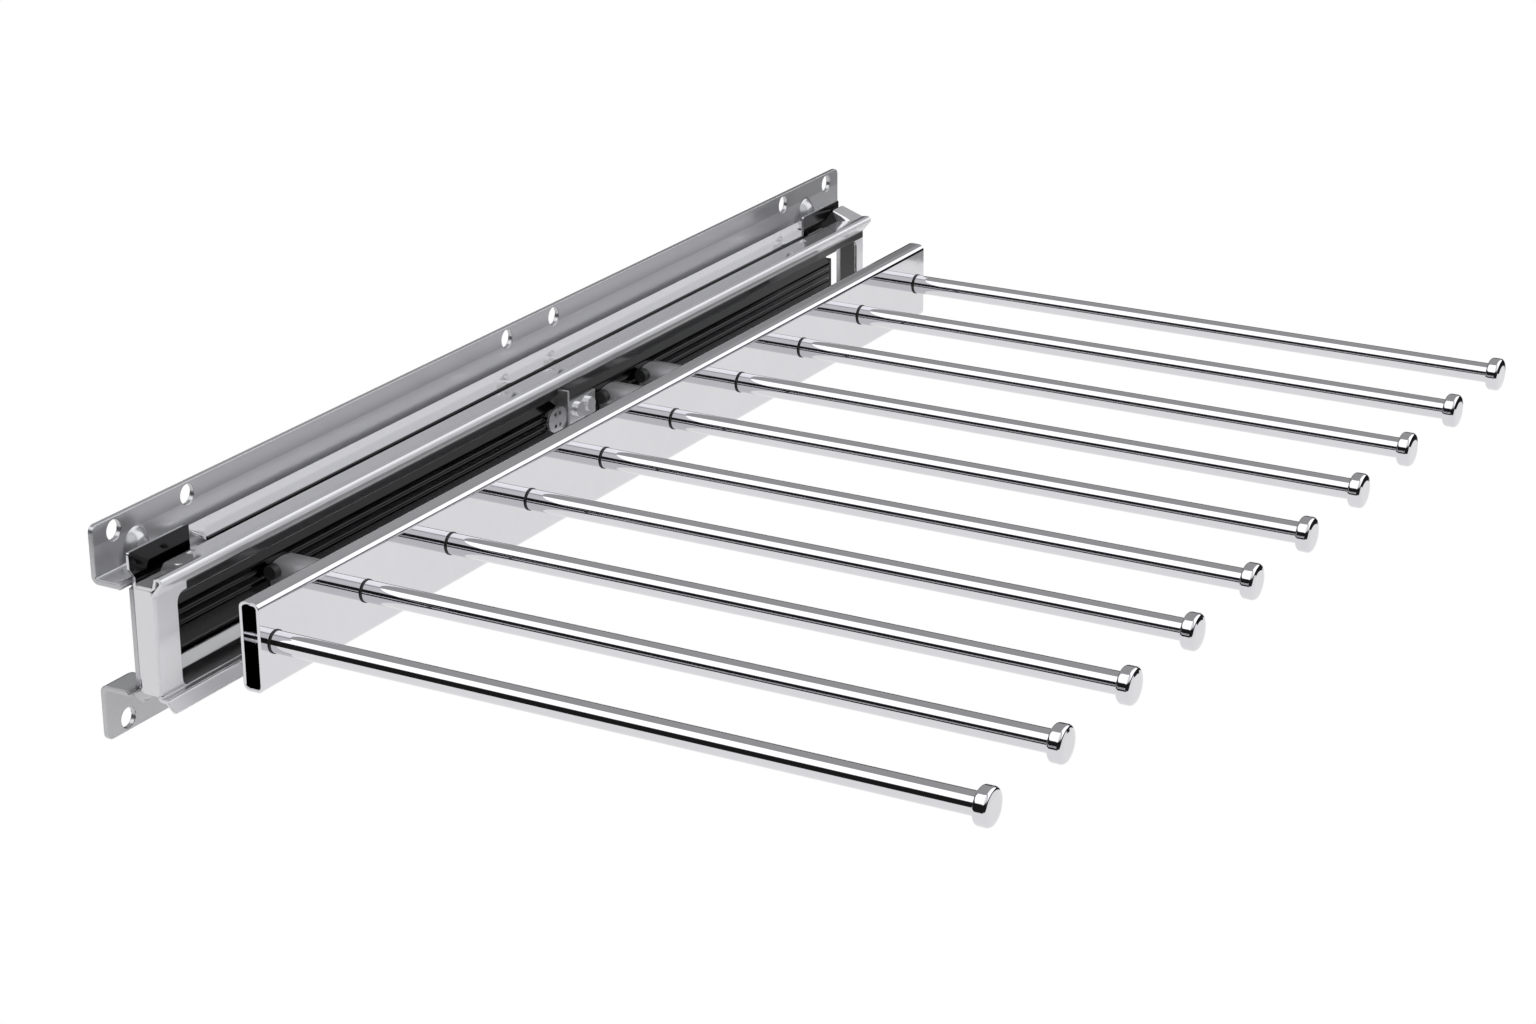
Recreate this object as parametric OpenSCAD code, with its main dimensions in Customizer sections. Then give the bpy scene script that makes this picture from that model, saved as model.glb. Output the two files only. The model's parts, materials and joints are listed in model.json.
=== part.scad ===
// Pull-out trouser rack for the side wall of a wardrobe.
// X points away from the wall, Y runs along the rack and +Y points into the wardrobe, Z is up.
// The origin is on the wall face, at the middle of the mounting holes.

/* [Wall bracket] */
// Length of the wall bracket
bracket_len = 496; // [420:2:600]
// Height over both wall flanges
bracket_h = 75; // [72:1:90]
// Sheet thickness of the wall bracket
bracket_t = 2; // [1.5:0.1:2.5]
// Height of the raised middle of the bracket
step_h = 39.2; // [38:0.2:44]
// How far the raised middle stands off the wall
step_depth = 13.4; // [12:0.2:20]
// Diameter of the mounting holes
hole_d = 7; // [4:0.5:8]
// From the flange edge to the hole centres
hole_edge = 4.5; // [4.2:0.1:8]
// From the bracket end to the first hole
hole_inset = 10.5; // [9:0.5:20]
// Distance between the two holes of an end pair
end_pair_pitch = 37.5; // [30:0.5:45]
// Distance between the two holes of the middle pair
mid_pair_pitch = 32; // [24:1:40]
// How far the middle pair sits behind the centre
mid_pair_shift = 6; // [0:1:10]
// Radius of the rounded corners of the flanges
corner_r = 2.5; // [1:0.5:4]
// How far the raised middle starts behind the front end of the flanges
web_setback = 4.5; // [3:0.5:8]

/* [Back plate] */
// Sheet thickness of the back plate
back_t = 1.2; // [1:0.1:1.6]
// Length of the back plate
back_len = 470.5; // [400:0.5:480]
// Height of the upright end tabs above the plate
tab_rise = 8.2; // [4:0.2:12]
// Length of each end tab
tab_len = 30.6; // [15:0.2:40]
// How far the front tab stands out past the front end of the plate
tab_lead = 2.5; // [1:0.5:4]
// Depth of the top lip folded back over the bracket
lip_depth = 10.4; // [6:0.2:12]
// Gap between the front tab and the folded lip
lip_gap = 9.4; // [4:0.2:20]
// How far the lip ends before the rear end of the plate
lip_short = 16; // [8:1:30]

/* [Slide] */
// Length of the outer rail
rail_len = 450; // [380:10:460]
// Height of the outer rail
rail_h = 32.4; // [31.6:0.2:33]
// Depth of the outer rail
rail_depth = 9.2; // [9:0.1:9.6]
// Height of the rail centre above the bracket centre
rail_rise = 3.2; // [2.8:0.1:3.6]
// Sheet thickness of the outer rail
rail_t = 1.2; // [1:0.1:1.2]
// Sheet thickness of the middle and inner rails
slim_t = 1; // [0.9:0.1:1]
// Diameter of the bearing balls
ball_d = 2.4; // [2.2:0.1:2.5]
// Free play between a ball and its race
ball_play = 0.06; // [0.03:0.01:0.1]
// Number of balls in a row
balls_per_row = 12; // [6:1:14]
// Distance between balls in a row
ball_pitch = 18; // [12:1:19]
// How far the two inner rails end short of the outer rail
buffer_room = 7; // [5:0.5:10]

/* [Carriage frame] */
// Sheet thickness of the frame
frame_t = 1.2; // [1:0.1:1.4]
// Length of the frame
frame_len = 476; // [420:1:480]
// How far the frame stands out past the front end of the bracket
frame_lead = 0; // [0:0.5:4]
// Height of the top edge strip above the bracket centre
strip_z = 23; // [22.6:0.1:24]
// Depth of the top edge strip
strip_depth = 8.2; // [5:0.2:9]
// Height of the front plate above the centre
plate_top = 17.8; // [16.5:0.1:18.5]
// Depth of the front plate below the centre
plate_bottom = 18.8; // [18:0.1:20]
// How far the top ridge leans out
ridge_out = 5.5; // [3:0.1:7]
// How far the top strip rises towards the ridge
ridge_rise = 1.9; // [0.4:0.1:3]
// How far the lower edge flares out
flare_out = 5.6; // [3:0.2:8]
// How far the lower edge flares down
flare_down = 2.9; // [2:0.1:6]
// Height of the top of the window above the centre
window_top = 15; // [12:0.2:15.6]
// Depth of the bottom of the window below the centre
window_bottom = 18; // [15:0.2:18.4]
// Width of the frame post at the front end
front_post = 11.7; // [8:0.1:20]
// Width of the frame post at the rear end
rear_post = 5.5; // [4:0.1:12]

/* [Bar and arms] */
// Length of the rectangular bar
bar_len = 460; // [400:5:480]
// Height of the rectangular bar
bar_h = 31.2; // [26:0.2:36]
// Thickness of the rectangular bar
bar_w = 8; // [7:0.2:12]
// Wall thickness of the bar
bar_wall = 1.2; // [1:0.1:1.5]
// Outer corner radius of the bar
bar_r = 2.4; // [1.8:0.1:3]
// Space between the frame plate and the bar
bar_gap = 21.4; // [16:0.2:30]
// From the front end of the bracket to the front end of the bar
bar_inset = 15.5; // [5:0.5:20]
// Number of arms
arm_count = 10; // [4:1:10]
// Distance between two arms
arm_pitch = 49.5; // [45:0.5:50]
// From the front end of the bar to the first arm
arm_inset = 8; // [6:0.5:12]
// Diameter of an arm
arm_d = 7.6; // [6:0.1:10]
// Length of an arm from the bar to the back of its cap
arm_len = 252; // [180:1:320]
// Diameter of the end cap
cap_d = 12.6; // [11:0.1:18]
// Length of the end cap
cap_len = 5; // [4:0.1:8]
// Thickness of the ring at the root of an arm
ring_t = 0.5; // [0.4:0.1:1]

/* [Carriers] */
// Width of the angles that carry the bar
saddle_w = 12; // [8:0.5:16]
// Height of the angles that carry the bar
saddle_h = 12.5; // [10:0.5:16]
// Diameter of the rubber pads on the angles
pad_d = 5; // [3:0.5:7]
// Diameter of the rivets that hold the slide
rivet_d = 4; // [3:0.5:5]

/* [Hidden] */
$fn = 48;

// Small values that several pieces share
over = 1;              // overrun of every cut
seat = 0.05;           // play of a pin in its hole
run = 0.4;             // sliding gap between sheet parts
bend_r = 0.8;          // inside radius of the sheet bends
fold_r = 0.3;           // inside radius of the tight folds of rails and frame
frame_r = 0.5;          // inside radius of the folds of the frame's long edges
bend_steps = 5;        // flats around a slanted fold

// Places along the wall bracket
front_y = -bracket_len / 2;
rear_y = bracket_len / 2;
ear_over = 4.5;                          // rear flange length past the raised middle
step_x = step_depth;                    // front face of the raised middle
hole_z = bracket_h / 2 - hole_edge;
outer_hole_y = rear_y - hole_inset;
inner_hole_y = outer_hole_y - end_pair_pitch;
dart_inset = 20.4;                      // from the front end to the front darts
dart_ys = [front_y + dart_inset, (outer_hole_y + inner_hole_y) / 2];
dart_r = 6.8;                           // radius of the pressed corner darts
dart_out = 0.6;                         // how far the axis of a dart stands out of the corner
dart_leg = 11;                          // longest reach of a dart along each face
web_front_y = front_y + web_setback;    // front end of the raised middle
relief_r = 1.3;                         // relief notch where the raised middle starts
hole_ys = [-outer_hole_y, -inner_hole_y, mid_pair_shift - mid_pair_pitch / 2,
           mid_pair_shift + mid_pair_pitch / 2, inner_hole_y, outer_hole_y];

// Back plate
back_x = step_x + back_t;               // front face of the back plate
back_over = 2.6;                        // height of the back plate above the outer rail
back_top = rail_rise + rail_h / 2 + back_over;
back_bottom = -(step_h / 2 - back_t / 2);
back_rear_y = web_front_y + back_len;
tab_front_y = web_front_y - tab_lead;
lip_front_y = tab_front_y + tab_len + lip_gap;
lip_rear_y = back_rear_y - lip_short;
lip_slope = 1.6;                        // rise of the folded lip towards the wall
lip_hole_d = 2.5;                       // small hole near the rear end of the lip
lip_hole_inset = 9.3;
sight_len = 20.5;                        // opening through web and plate past the slide
sight_h = 24;
sight_edge = 14.2;                      // web left behind the opening
sight_y = rear_y - ear_over - sight_edge - sight_len;

// Slide, nested rails seen in section
rail_inset = 0.5;                       // from the front end of the plate to the rail
rail_front_y = web_front_y + rail_inset;
rail_z0 = rail_rise - rail_h / 2;
rail_z1 = rail_rise + rail_h / 2;
rail_x1 = back_x + rail_depth;
rail_lip = 5.8;                         // height of the front lips of the outer rail
race_gap = ball_d * 2 / 3;              // space between two flanges that share balls
groove = (ball_d - race_gap) / 2 + ball_play;   // depth of a ball groove
web_gap = 0.8;                          // space between the webs of two rails
slim_len = rail_len - buffer_room;
mid_x0 = back_x + rail_t + web_gap;     // back face of the middle rail web
mid_x1 = rail_x1 - rail_t - run;        // front edge of the middle rail
mid_z0 = rail_z0 + rail_t + race_gap;   // lower face of the middle rail
mid_z1 = rail_z1 - rail_t - race_gap;
in_z0 = mid_z0 + slim_t + race_gap;     // lower face of the inner rail
in_z1 = mid_z1 - slim_t - race_gap;
in_x1 = rail_x1 + run;                  // front face of the inner rail
in_x0 = mid_x0 + 2 * slim_t;            // back edge of the inner rail flanges
in_crown = 14;                          // height of the raised front of the inner rail
outer_ball_x = mid_x0 + 1.5 * slim_t;
inner_ball_x = outer_ball_x + ball_d + 0.2;
outer_ball_zs = [rail_z0 + rail_t + race_gap / 2, rail_z1 - rail_t - race_gap / 2];
inner_ball_zs = [mid_z0 + slim_t + race_gap / 2, mid_z1 - slim_t - race_gap / 2];
cage_t = 0.6;                           // thickness of a ball cage
cage_wall = 0.35;                       // cage material beside a ball
cage_end = 4;                           // cage length past the last ball
cage_mid_y = rail_front_y + rail_len / 2;
ball_first_y = cage_mid_y - (balls_per_row - 1) * ball_pitch / 2;
cage_len = (balls_per_row - 1) * ball_pitch + 2 * cage_end;
rivet_share = [0.1, 0.36, 0.64, 0.9];   // places of the rivets along the slide
rivet_head_d = 7;
rivet_head_t = 0.5;
rivet_back_t = 1.4;

// Carriage frame
plate_x0 = in_x1;                       // back face of the front plate
plate_x1 = plate_x0 + frame_t;
frame_front_y = front_y - frame_lead;
frame_rear_y = frame_front_y + frame_len;
ridge_x = plate_x1 + ridge_out;
ridge_z = strip_z + ridge_rise;
ridge_mid_x = ridge_x - frame_t / 2;
strip_x1 = plate_x1 + frame_t / 2;      // front edge of the cut-away stretches of the strip
strip_x0 = strip_x1 - strip_depth;
trough_len = 13.5;                       // lowered front end of the top edge
trough_drop = 2.3;
trough_lean = 0.4;
trough_back = 0.4;                      // how far the trough reaches behind the strip
cover_len = 8;                          // full-width cover at the rear end
cover_rise = 4.6;                       // rise of the cover towards the wall
cover_x0 = back_x + run;
hem_depth = plate_x0 - back_x - run;    // inward hem along the window
end_wall_depth = 6.2;
end_wall_low = -plate_bottom + 1.5 * frame_t;   // lower edge of the end wall
frame_corner = 1.6;                     // radius of the upright front edge
window_r = 3.5;
window_y0 = frame_front_y + front_post;
window_y1 = frame_rear_y - rear_post;

// Bar, arms, rings and caps
bar_x0 = plate_x1 + bar_gap;
bar_x1 = bar_x0 + bar_w;
bar_front_y = front_y + bar_inset;
arm_y0 = bar_front_y + arm_inset;
spigot_d = arm_d - 2.6;
ring_d = arm_d + 0.6;
arm_end = bar_x1 + arm_len;
cap_seat = cap_len * 0.6;               // depth of the blind hole in a cap
cap_round = 1.3;
cap_dome = 0.5;

// Angles, pads, bracket and screws between rail and bar
saddle_t = 1.4;
saddle_r = 2.8;
saddle_z = rail_rise + in_crown / 2 - saddle_t;
saddle_shares = [0.111, 0.557, 0.62];   // places of the angles along the bar
saddle_ys = [for (s = saddle_shares) bar_front_y + s * bar_len];
pad_t = 3.2;
pad_x = in_x1 + pad_d / 2 + seat;
pad_z = saddle_z - pad_d / 2;
brace_share = 0.478;                    // place of the centre bracket along the bar
brace_y = bar_front_y + brace_share * bar_len;
brace_h = 9;                            // height of the foot on the rail
brace_z = rail_rise + in_crown / 2 - brace_h / 2;
brace_t = 1.2;
brace_reach = 5.8;                      // how far the upright stands out from the rail
brace_front = 6;                        // foot length before the upright
brace_rear = 26;                        // foot length behind the upright
brace_hole_d = 1.6;                     // two small holes in the front end of the foot
brace_hole_pitch = 4.5;
screw_d = 3;
screw_head_d = 5.6;
screw_head_t = 1.4;
screw_len = 3;
screw_share = [0.54, 0.82];             // places of the screws along the foot behind the upright
screw_ys = [for (s = screw_share) brace_y + s * brace_rear];

// Plane geometry for bent sheet
function unit(v) = v / norm(v);
function turn(u, v) = atan2(u[0] * v[1] - u[1] * v[0], u * v);
function setback(u, v, r) = r * tan(abs(turn(u, v)) / 2);
function left(u) = [-u[1], u[0]];

// One straight run of sheet with thickness t on its middle line
module run_2d(p, q, t) {
    d = q - p;
    translate(p) rotate(atan2(d[1], d[0])) translate([0, -t / 2]) square([norm(d), t]);
}

// One bend of radius r on the middle line, from direction u to direction v at corner c
module bend_2d(c, u, v, t, r) {
    s = sign(turn(u, v));
    m = c - u * setback(u, v, r) + left(u) * s * r;
    e0 = -left(u) * s;
    e1 = -left(v) * s;
    reach = (r + t) / cos(turn(u, v) / 2);
    intersection() {
        translate(m) difference() {
            circle(r + t / 2);
            circle(r - t / 2);
        }
        polygon([m, m + e0 * reach, m + unit(e0 + e1) * reach, m + e1 * reach]);
    }
}

// Section of a sheet bent along the points, with inside bend radius r_in
module sheet_2d(pts, t, r_in = bend_r) {
    r = r_in + t / 2;
    n = len(pts);
    dirs = [for (i = [0 : n - 2]) unit(pts[i + 1] - pts[i])];
    for (i = [0 : n - 2]) {
        a = i == 0 ? 0 : setback(dirs[i - 1], dirs[i], r);
        b = i == n - 2 ? 0 : setback(dirs[i], dirs[i + 1], r);
        run_2d(pts[i] + dirs[i] * a, pts[i + 1] - dirs[i] * b, t);
    }
    for (i = [1 : n - 2]) bend_2d(pts[i], dirs[i - 1], dirs[i], t, r);
}

// Points along one face of a bend, side 1 left of the sheet and side -1 right of it
function bend_points(c, u, v, t, r, side) =
    let (a = turn(u, v), s = sign(a), m = c - u * setback(u, v, r) + left(u) * s * r,
         e = -left(u) * s, d = r - s * side * t / 2)
    [for (i = [0 : bend_steps]) let (b = a * i / bend_steps)
        m + [e[0] * cos(b) - e[1] * sin(b), e[0] * sin(b) + e[1] * cos(b)] * d];

// One face of a folded sheet from its first to its last point
function face_points(pts, t, r, side) =
    let (n = len(pts), dirs = [for (i = [0 : n - 2]) unit(pts[i + 1] - pts[i])])
    concat([pts[0] + left(dirs[0]) * side * t / 2],
           [for (i = [1 : 1 : n - 2]) each bend_points(pts[i], dirs[i - 1], dirs[i], t, r, side)],
           [pts[n - 1] + left(dirs[n - 2]) * side * t / 2]);

// Section of a sheet with slanted folds, drawn as one outline
module fold_2d(pts, t, r_in) {
    a = face_points(pts, t, r_in + t / 2, 1);
    b = face_points(pts, t, r_in + t / 2, -1);
    polygon(concat(a, [for (i = [len(b) - 1 : -1 : 0]) b[i]]));
}

// Section in X and Z drawn out along Y
module along_y(y0, y1) {
    translate([0, y1, 0]) rotate([90, 0, 0]) linear_extrude(y1 - y0) children();
}

// Box between two corners
module block(a, b) {
    translate(a) cube(b - a);
}

// Round bar or hole along X
module x_rod(x0, x1, y, z, d) {
    translate([x0, y, z]) rotate([0, 90, 0]) cylinder(d = d, h = x1 - x0);
}

// Cutter for a rounded window in a plate that faces X
module window_cut(x0, x1, y0, y1, z0, z1, r) {
    block([x0, y0 + r, z0], [x1, y1 - r, z1]);
    block([x0, y0, z0 + r], [x1, y1, z1 - r]);
    for (y = [y0 + r, y1 - r], z = [z0 + r, z1 - r]) x_rod(x0, x1, y, z, 2 * r);
}

// Cutter that rounds one corner of a flange that faces X
module corner_cutter(y, z) {
    translate([0, y, z]) mirror([0, y > 0 ? 1 : 0, 0]) mirror([0, 0, z > 0 ? 1 : 0]) difference() {
        block([-over, -over, -over], [bracket_t + over, corner_r, corner_r]);
        x_rod(-2 * over, bracket_t + 2 * over, corner_r, corner_r, 2 * corner_r);
    }
}

// Pressed dart that stiffens the bend between flange and ledge
module corner_dart(y, side) {
    flat = bracket_t / 2;
    z0 = step_h / 2;
    intersection() {
        block([flat, y - dart_r, side > 0 ? z0 - flat : -z0 - dart_leg],
              [flat + dart_leg, y + dart_r, side > 0 ? z0 + dart_leg : -z0 + flat]);
        translate([bracket_t + dart_out, y, side * (z0 + dart_out)]) rotate([0, -side * 45, 0])
            cylinder(r = dart_r, h = 3 * dart_leg, center = true);
    }
}

module wall_bracket() {
    half = bracket_t / 2;
    ledge = step_h / 2 - half;
    color("silver") difference() {
        union() {
            along_y(front_y, rear_y) sheet_2d([
                [half, bracket_h / 2], [half, ledge], [step_x - half, ledge],
                [step_x - half, -ledge], [half, -ledge], [half, -bracket_h / 2]], bracket_t);
            for (y = dart_ys, side = [-1, 1]) corner_dart(y, side);
        }
        block([bracket_t, rear_y - ear_over, -step_h], [2 * step_x, rear_y + over, step_h]);
        block([bracket_t, front_y - over, bracket_t - step_h / 2],
              [step_x + over, web_front_y, step_h / 2 - bracket_t]);
        for (side = [-1, 1])
            translate([step_x, web_front_y, side * step_h / 2]) rotate([0, side * 45, 0])
                cylinder(r = relief_r, h = 3 * bracket_t, center = true);
        for (y = hole_ys, z = [-hole_z, hole_z]) x_rod(-over, bracket_t + over, y, z, hole_d);
        for (y = [front_y, rear_y], z = [-bracket_h / 2, bracket_h / 2]) corner_cutter(y, z);
        block([bracket_t, sight_y, -sight_h / 2],
              [step_x + over, sight_y + sight_len, sight_h / 2]);
        for (s = rivet_share)
            x_rod(0, step_x + over, rail_front_y + s * rail_len, rail_rise, rivet_d + 2 * seat);
    }
}

module back_plate() {
    half = back_t / 2;
    x = step_x + half;
    tab_top = back_top + tab_rise;
    rear_tab_y = back_rear_y - back_t;
    color("gainsboro") difference() {
        union() {
            block([step_x, web_front_y, back_bottom], [back_x, back_rear_y, back_top - 2 * back_t]);
            along_y(lip_front_y, lip_rear_y) fold_2d([
                [x, back_bottom], [x, back_top - half],
                [back_x - lip_depth, back_top - half + lip_slope]], back_t, bend_r);
            block([step_x, rear_tab_y - tab_len, back_bottom], [back_x, rear_tab_y, tab_top]);
            translate([step_x, 0, 0]) rotate([90, 0, 90]) linear_extrude(back_t) polygon([
                [web_front_y, back_bottom], [tab_front_y + tab_len, back_bottom],
                [tab_front_y + tab_len, tab_top], [tab_front_y, tab_top],
                [tab_front_y, back_top + tab_lead], [web_front_y, back_top - back_t]]);
        }
        translate([back_x - lip_depth / 2, lip_rear_y - lip_hole_inset, back_top - lip_hole_d])
            cylinder(d = lip_hole_d, h = 2 * lip_hole_d);
        block([step_x - over, sight_y, -sight_h / 2],
              [back_x + over, sight_y + sight_len, sight_h / 2]);
        for (s = rivet_share)
            x_rod(step_x - over, back_x + over, rail_front_y + s * rail_len, rail_rise,
                  rivet_d + 2 * seat);
    }
}

// Ball grooves along the rail at one place in the section
module ball_groove(x, z) {
    translate([x, rail_front_y - over, z]) rotate([-90, 0, 0])
        cylinder(r = ball_d / 2 + ball_play, h = rail_len + 2 * over);
}

module outer_rail() {
    half = rail_t / 2;
    color("silver") difference() {
        along_y(rail_front_y, rail_front_y + rail_len) sheet_2d([
            [rail_x1 - half, rail_z0 + rail_lip], [rail_x1 - half, rail_z0 + half],
            [back_x + half, rail_z0 + half], [back_x + half, rail_z1 - half],
            [rail_x1 - half, rail_z1 - half], [rail_x1 - half, rail_z1 - rail_lip]], rail_t, fold_r);
        for (z = outer_ball_zs) ball_groove(outer_ball_x, z);
        for (s = rivet_share)
            x_rod(back_x - over, back_x + rail_t + over, rail_front_y + s * rail_len, rail_rise,
                  rivet_d + 2 * seat);
    }
}

module rail_rivets() {
    web_back = step_x - bracket_t;
    color("lightgray") for (s = rivet_share) {
        y = rail_front_y + s * rail_len;
        x_rod(web_back, back_x + rail_t, y, rail_rise, rivet_d);
        x_rod(back_x + rail_t, back_x + rail_t + rivet_head_t, y, rail_rise, rivet_head_d);
        x_rod(web_back - rivet_back_t, web_back, y, rail_rise, rivet_head_d);
    }
}

module rear_buffer() {
    y1 = rail_front_y + rail_len;
    color("#202020")
        block([back_x + rail_t, y1 - buffer_room + run, rail_rise - in_crown / 2],
              [mid_x1 - slim_t, y1, rail_rise + in_crown / 2]);
}

module middle_rail() {
    half = slim_t / 2;
    color("lightgray") difference() {
        along_y(rail_front_y, rail_front_y + slim_len) sheet_2d([
            [mid_x1, mid_z0 + half], [mid_x0 + half, mid_z0 + half],
            [mid_x0 + half, mid_z1 - half], [mid_x1, mid_z1 - half]], slim_t, fold_r);
        for (z = outer_ball_zs) ball_groove(outer_ball_x, z);
        for (z = inner_ball_zs) ball_groove(inner_ball_x, z);
    }
}

// One row of balls, drawn with its middle at height z
module ball_row(x, z) {
    for (i = [0 : balls_per_row - 1])
        translate([x, ball_first_y + i * ball_pitch, z]) sphere(d = ball_d);
}

// One strip that keeps a row of balls apart
module cage_strip(x, z) {
    half = ball_d / 2 + seat + cage_wall;
    difference() {
        block([x - half, cage_mid_y - cage_len / 2, z - cage_t / 2],
              [x + half, cage_mid_y + cage_len / 2, z + cage_t / 2]);
        for (i = [0 : balls_per_row - 1])
            translate([x, ball_first_y + i * ball_pitch, z - over])
                cylinder(d = ball_d + 2 * seat, h = 2 * over);
    }
}

module outer_cages() {
    color("dimgray") for (z = outer_ball_zs) cage_strip(outer_ball_x, z);
}

module outer_balls() {
    color("white") for (z = outer_ball_zs) ball_row(outer_ball_x, z);
}

module inner_cages() {
    color("dimgray") for (z = inner_ball_zs) cage_strip(inner_ball_x, z);
}

module inner_balls() {
    color("white") for (z = inner_ball_zs) ball_row(inner_ball_x, z);
}

module inner_rail() {
    half = slim_t / 2;
    crown0 = rail_rise - in_crown / 2;
    crown1 = rail_rise + in_crown / 2;
    knee = mid_x1 - half;
    color("silver") difference() {
        along_y(rail_front_y, rail_front_y + slim_len) fold_2d([
            [in_x0, in_z0 + half], [knee, in_z0 + half], [in_x1 - half, crown0],
            [in_x1 - half, crown1], [knee, in_z1 - half], [in_x0, in_z1 - half]], slim_t, fold_r);
        for (z = inner_ball_zs) ball_groove(inner_ball_x, z);
        for (y = screw_ys)
            x_rod(in_x1 - 2 * slim_t, in_x1 + over, y, brace_z, screw_d + 2 * seat);
    }
}

// Height of the middle of the top strip at one distance from the wall
function strip_mid(x) =
    strip_z - frame_t / 2 + ridge_rise * (x - strip_x0) / (ridge_mid_x - strip_x0);

// Front plate, ridge and flared lower edge in one section
module frame_section() {
    half = frame_t / 2;
    x = plate_x0 + half;
    low = half - plate_bottom;
    fold_2d([
        [strip_x0, strip_mid(strip_x0)], [ridge_mid_x, strip_mid(ridge_mid_x)], [x, plate_top],
        [x, low], [x + flare_out / 2, low],
        [plate_x1 + flare_out, -plate_bottom - flare_down]], frame_t, frame_r);
}

// Cutter that rounds the upright front edge of the frame
module front_edge_cutter() {
    x = plate_x1 - frame_corner;
    y = frame_front_y + frame_corner;
    difference() {
        block([x, frame_front_y - over, -plate_bottom - over], [plate_x1, y, plate_top]);
        translate([x, y, -plate_bottom - 2 * over])
            cylinder(r = frame_corner, h = plate_bottom + plate_top + 3 * over);
    }
}

// Front plate with its window, without the strip over the lowered front and the rear cover
module frame_plate() {
    low = strip_z - trough_drop - frame_t;
    high = ridge_z + frame_t;
    difference() {
        along_y(frame_front_y, frame_rear_y) frame_section();
        window_cut(plate_x0 - over, plate_x1 + over, window_y0, window_y1,
                   -window_bottom, window_top, window_r);
        block([strip_x0 - over, frame_front_y - over, low],
              [strip_x1, frame_front_y + trough_len, high]);
        block([strip_x0 - over, frame_rear_y - cover_len, low],
              [strip_x1, frame_rear_y + over, high]);
    }
}

module carriage_frame() {
    half = frame_t / 2;
    trough_z = strip_z - trough_drop;
    joint_x = strip_x1 + trough_lean;
    color("silver") difference() {
        union() {
            frame_plate();
            along_y(frame_front_y, frame_front_y + trough_len + half) fold_2d([
                [strip_x0 - trough_back, trough_z - half], [strip_x1, trough_z - half],
                [joint_x, strip_mid(joint_x)]], frame_t, fold_r);
            along_y(frame_rear_y - cover_len, frame_rear_y) fold_2d([
                [cover_x0, strip_z - half + cover_rise], [joint_x, strip_mid(joint_x)]],
                frame_t, fold_r);
            block([plate_x0 - end_wall_depth, frame_front_y, end_wall_low],
                  [plate_x0 + half, frame_front_y + frame_t, trough_z - half]);
            block([plate_x0 - hem_depth, window_y0, -window_bottom - frame_t],
                  [plate_x0 + half, window_y1, -window_bottom]);
        }
        front_edge_cutter();
    }
}

// Angle that carries the bar: a flat top and an upright leg, rounded between them
module saddle(y) {
    half = saddle_t / 2;
    color("gray") translate([in_x1, y, 0]) rotate([0, 0, 90]) rotate([90, 0, 0])
        linear_extrude(bar_x0 - in_x1) sheet_2d([
            [saddle_w / 2, saddle_z - half], [half - saddle_w / 2, saddle_z - half],
            [half - saddle_w / 2, saddle_z - saddle_h]], saddle_t, saddle_r);
}

module front_saddle() { saddle(saddle_ys[0]); }
module middle_saddle() { saddle(saddle_ys[1]); }
module rear_saddle() { saddle(saddle_ys[2]); }

module saddle_pads() {
    color("#181818") for (y = saddle_ys)
        translate([pad_x, y - saddle_w / 2, pad_z]) rotate([90, 0, 0])
            cylinder(d = pad_d, h = pad_t);
}

// Foot screwed to the inner rail, with an upright that reaches up to the frame
module centre_bracket() {
    x1 = in_x1 + brace_t;
    low_z = brace_z - brace_h / 3;
    foot_y = brace_y - brace_front + brace_h / 2;
    color("lightgray") difference() {
        union() {
            block([in_x1, foot_y, brace_z - brace_h / 2], [x1, brace_y + brace_rear, brace_z + brace_h / 2]);
            x_rod(in_x1, x1, foot_y, brace_z, brace_h);
            along_y(brace_y, brace_y + brace_t) polygon([
                [in_x1, low_z], [in_x1 + brace_reach, low_z], [in_x1 + brace_reach, plate_top - run],
                [plate_x1, plate_top - run], [plate_x1, window_top - run], [in_x1, window_top - run]]);
        }
        for (y = screw_ys) x_rod(in_x1 - over, x1 + over, y, brace_z, screw_d + 2 * seat);
        for (z = [-brace_hole_pitch / 2, brace_hole_pitch / 2])
            x_rod(in_x1 - over, x1 + over, foot_y, brace_z + z, brace_hole_d);
    }
}

module bracket_screws() {
    x1 = in_x1 + brace_t;
    color("whitesmoke") for (y = screw_ys) {
        x_rod(x1 - screw_len, x1, y, brace_z, screw_d);
        x_rod(x1, x1 + screw_head_t, y, brace_z, screw_head_d);
    }
}

// Rounded rectangle as an exact section
module rounded_2d(w, h, r) {
    translate([-w / 2 + r, -h / 2]) square([w - 2 * r, h]);
    translate([-w / 2, -h / 2 + r]) square([w, h - 2 * r]);
    for (x = [r - w / 2, w / 2 - r], y = [r - h / 2, h / 2 - r]) translate([x, y]) circle(r);
}

module arm_bar() {
    color("silver") difference() {
        translate([(bar_x0 + bar_x1) / 2, 0, 0]) along_y(bar_front_y, bar_front_y + bar_len)
            difference() {
                rounded_2d(bar_w, bar_h, bar_r);
                rounded_2d(bar_w - 2 * bar_wall, bar_h - 2 * bar_wall, bar_r - bar_wall);
            }
        for (i = [0 : arm_count - 1])
            x_rod(bar_x1 - 2 * bar_wall, bar_x1 + over, arm_y0 + i * arm_pitch, 0,
                  spigot_d + 2 * seat);
    }
}

module arm_rings() {
    color("#202020") for (i = [0 : arm_count - 1])
        translate([bar_x1, arm_y0 + i * arm_pitch, 0]) rotate([0, 90, 0]) difference() {
            cylinder(d = ring_d, h = ring_t);
            translate([0, 0, -over]) cylinder(d = spigot_d + 2 * seat, h = ring_t + 2 * over);
        }
}

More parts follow.
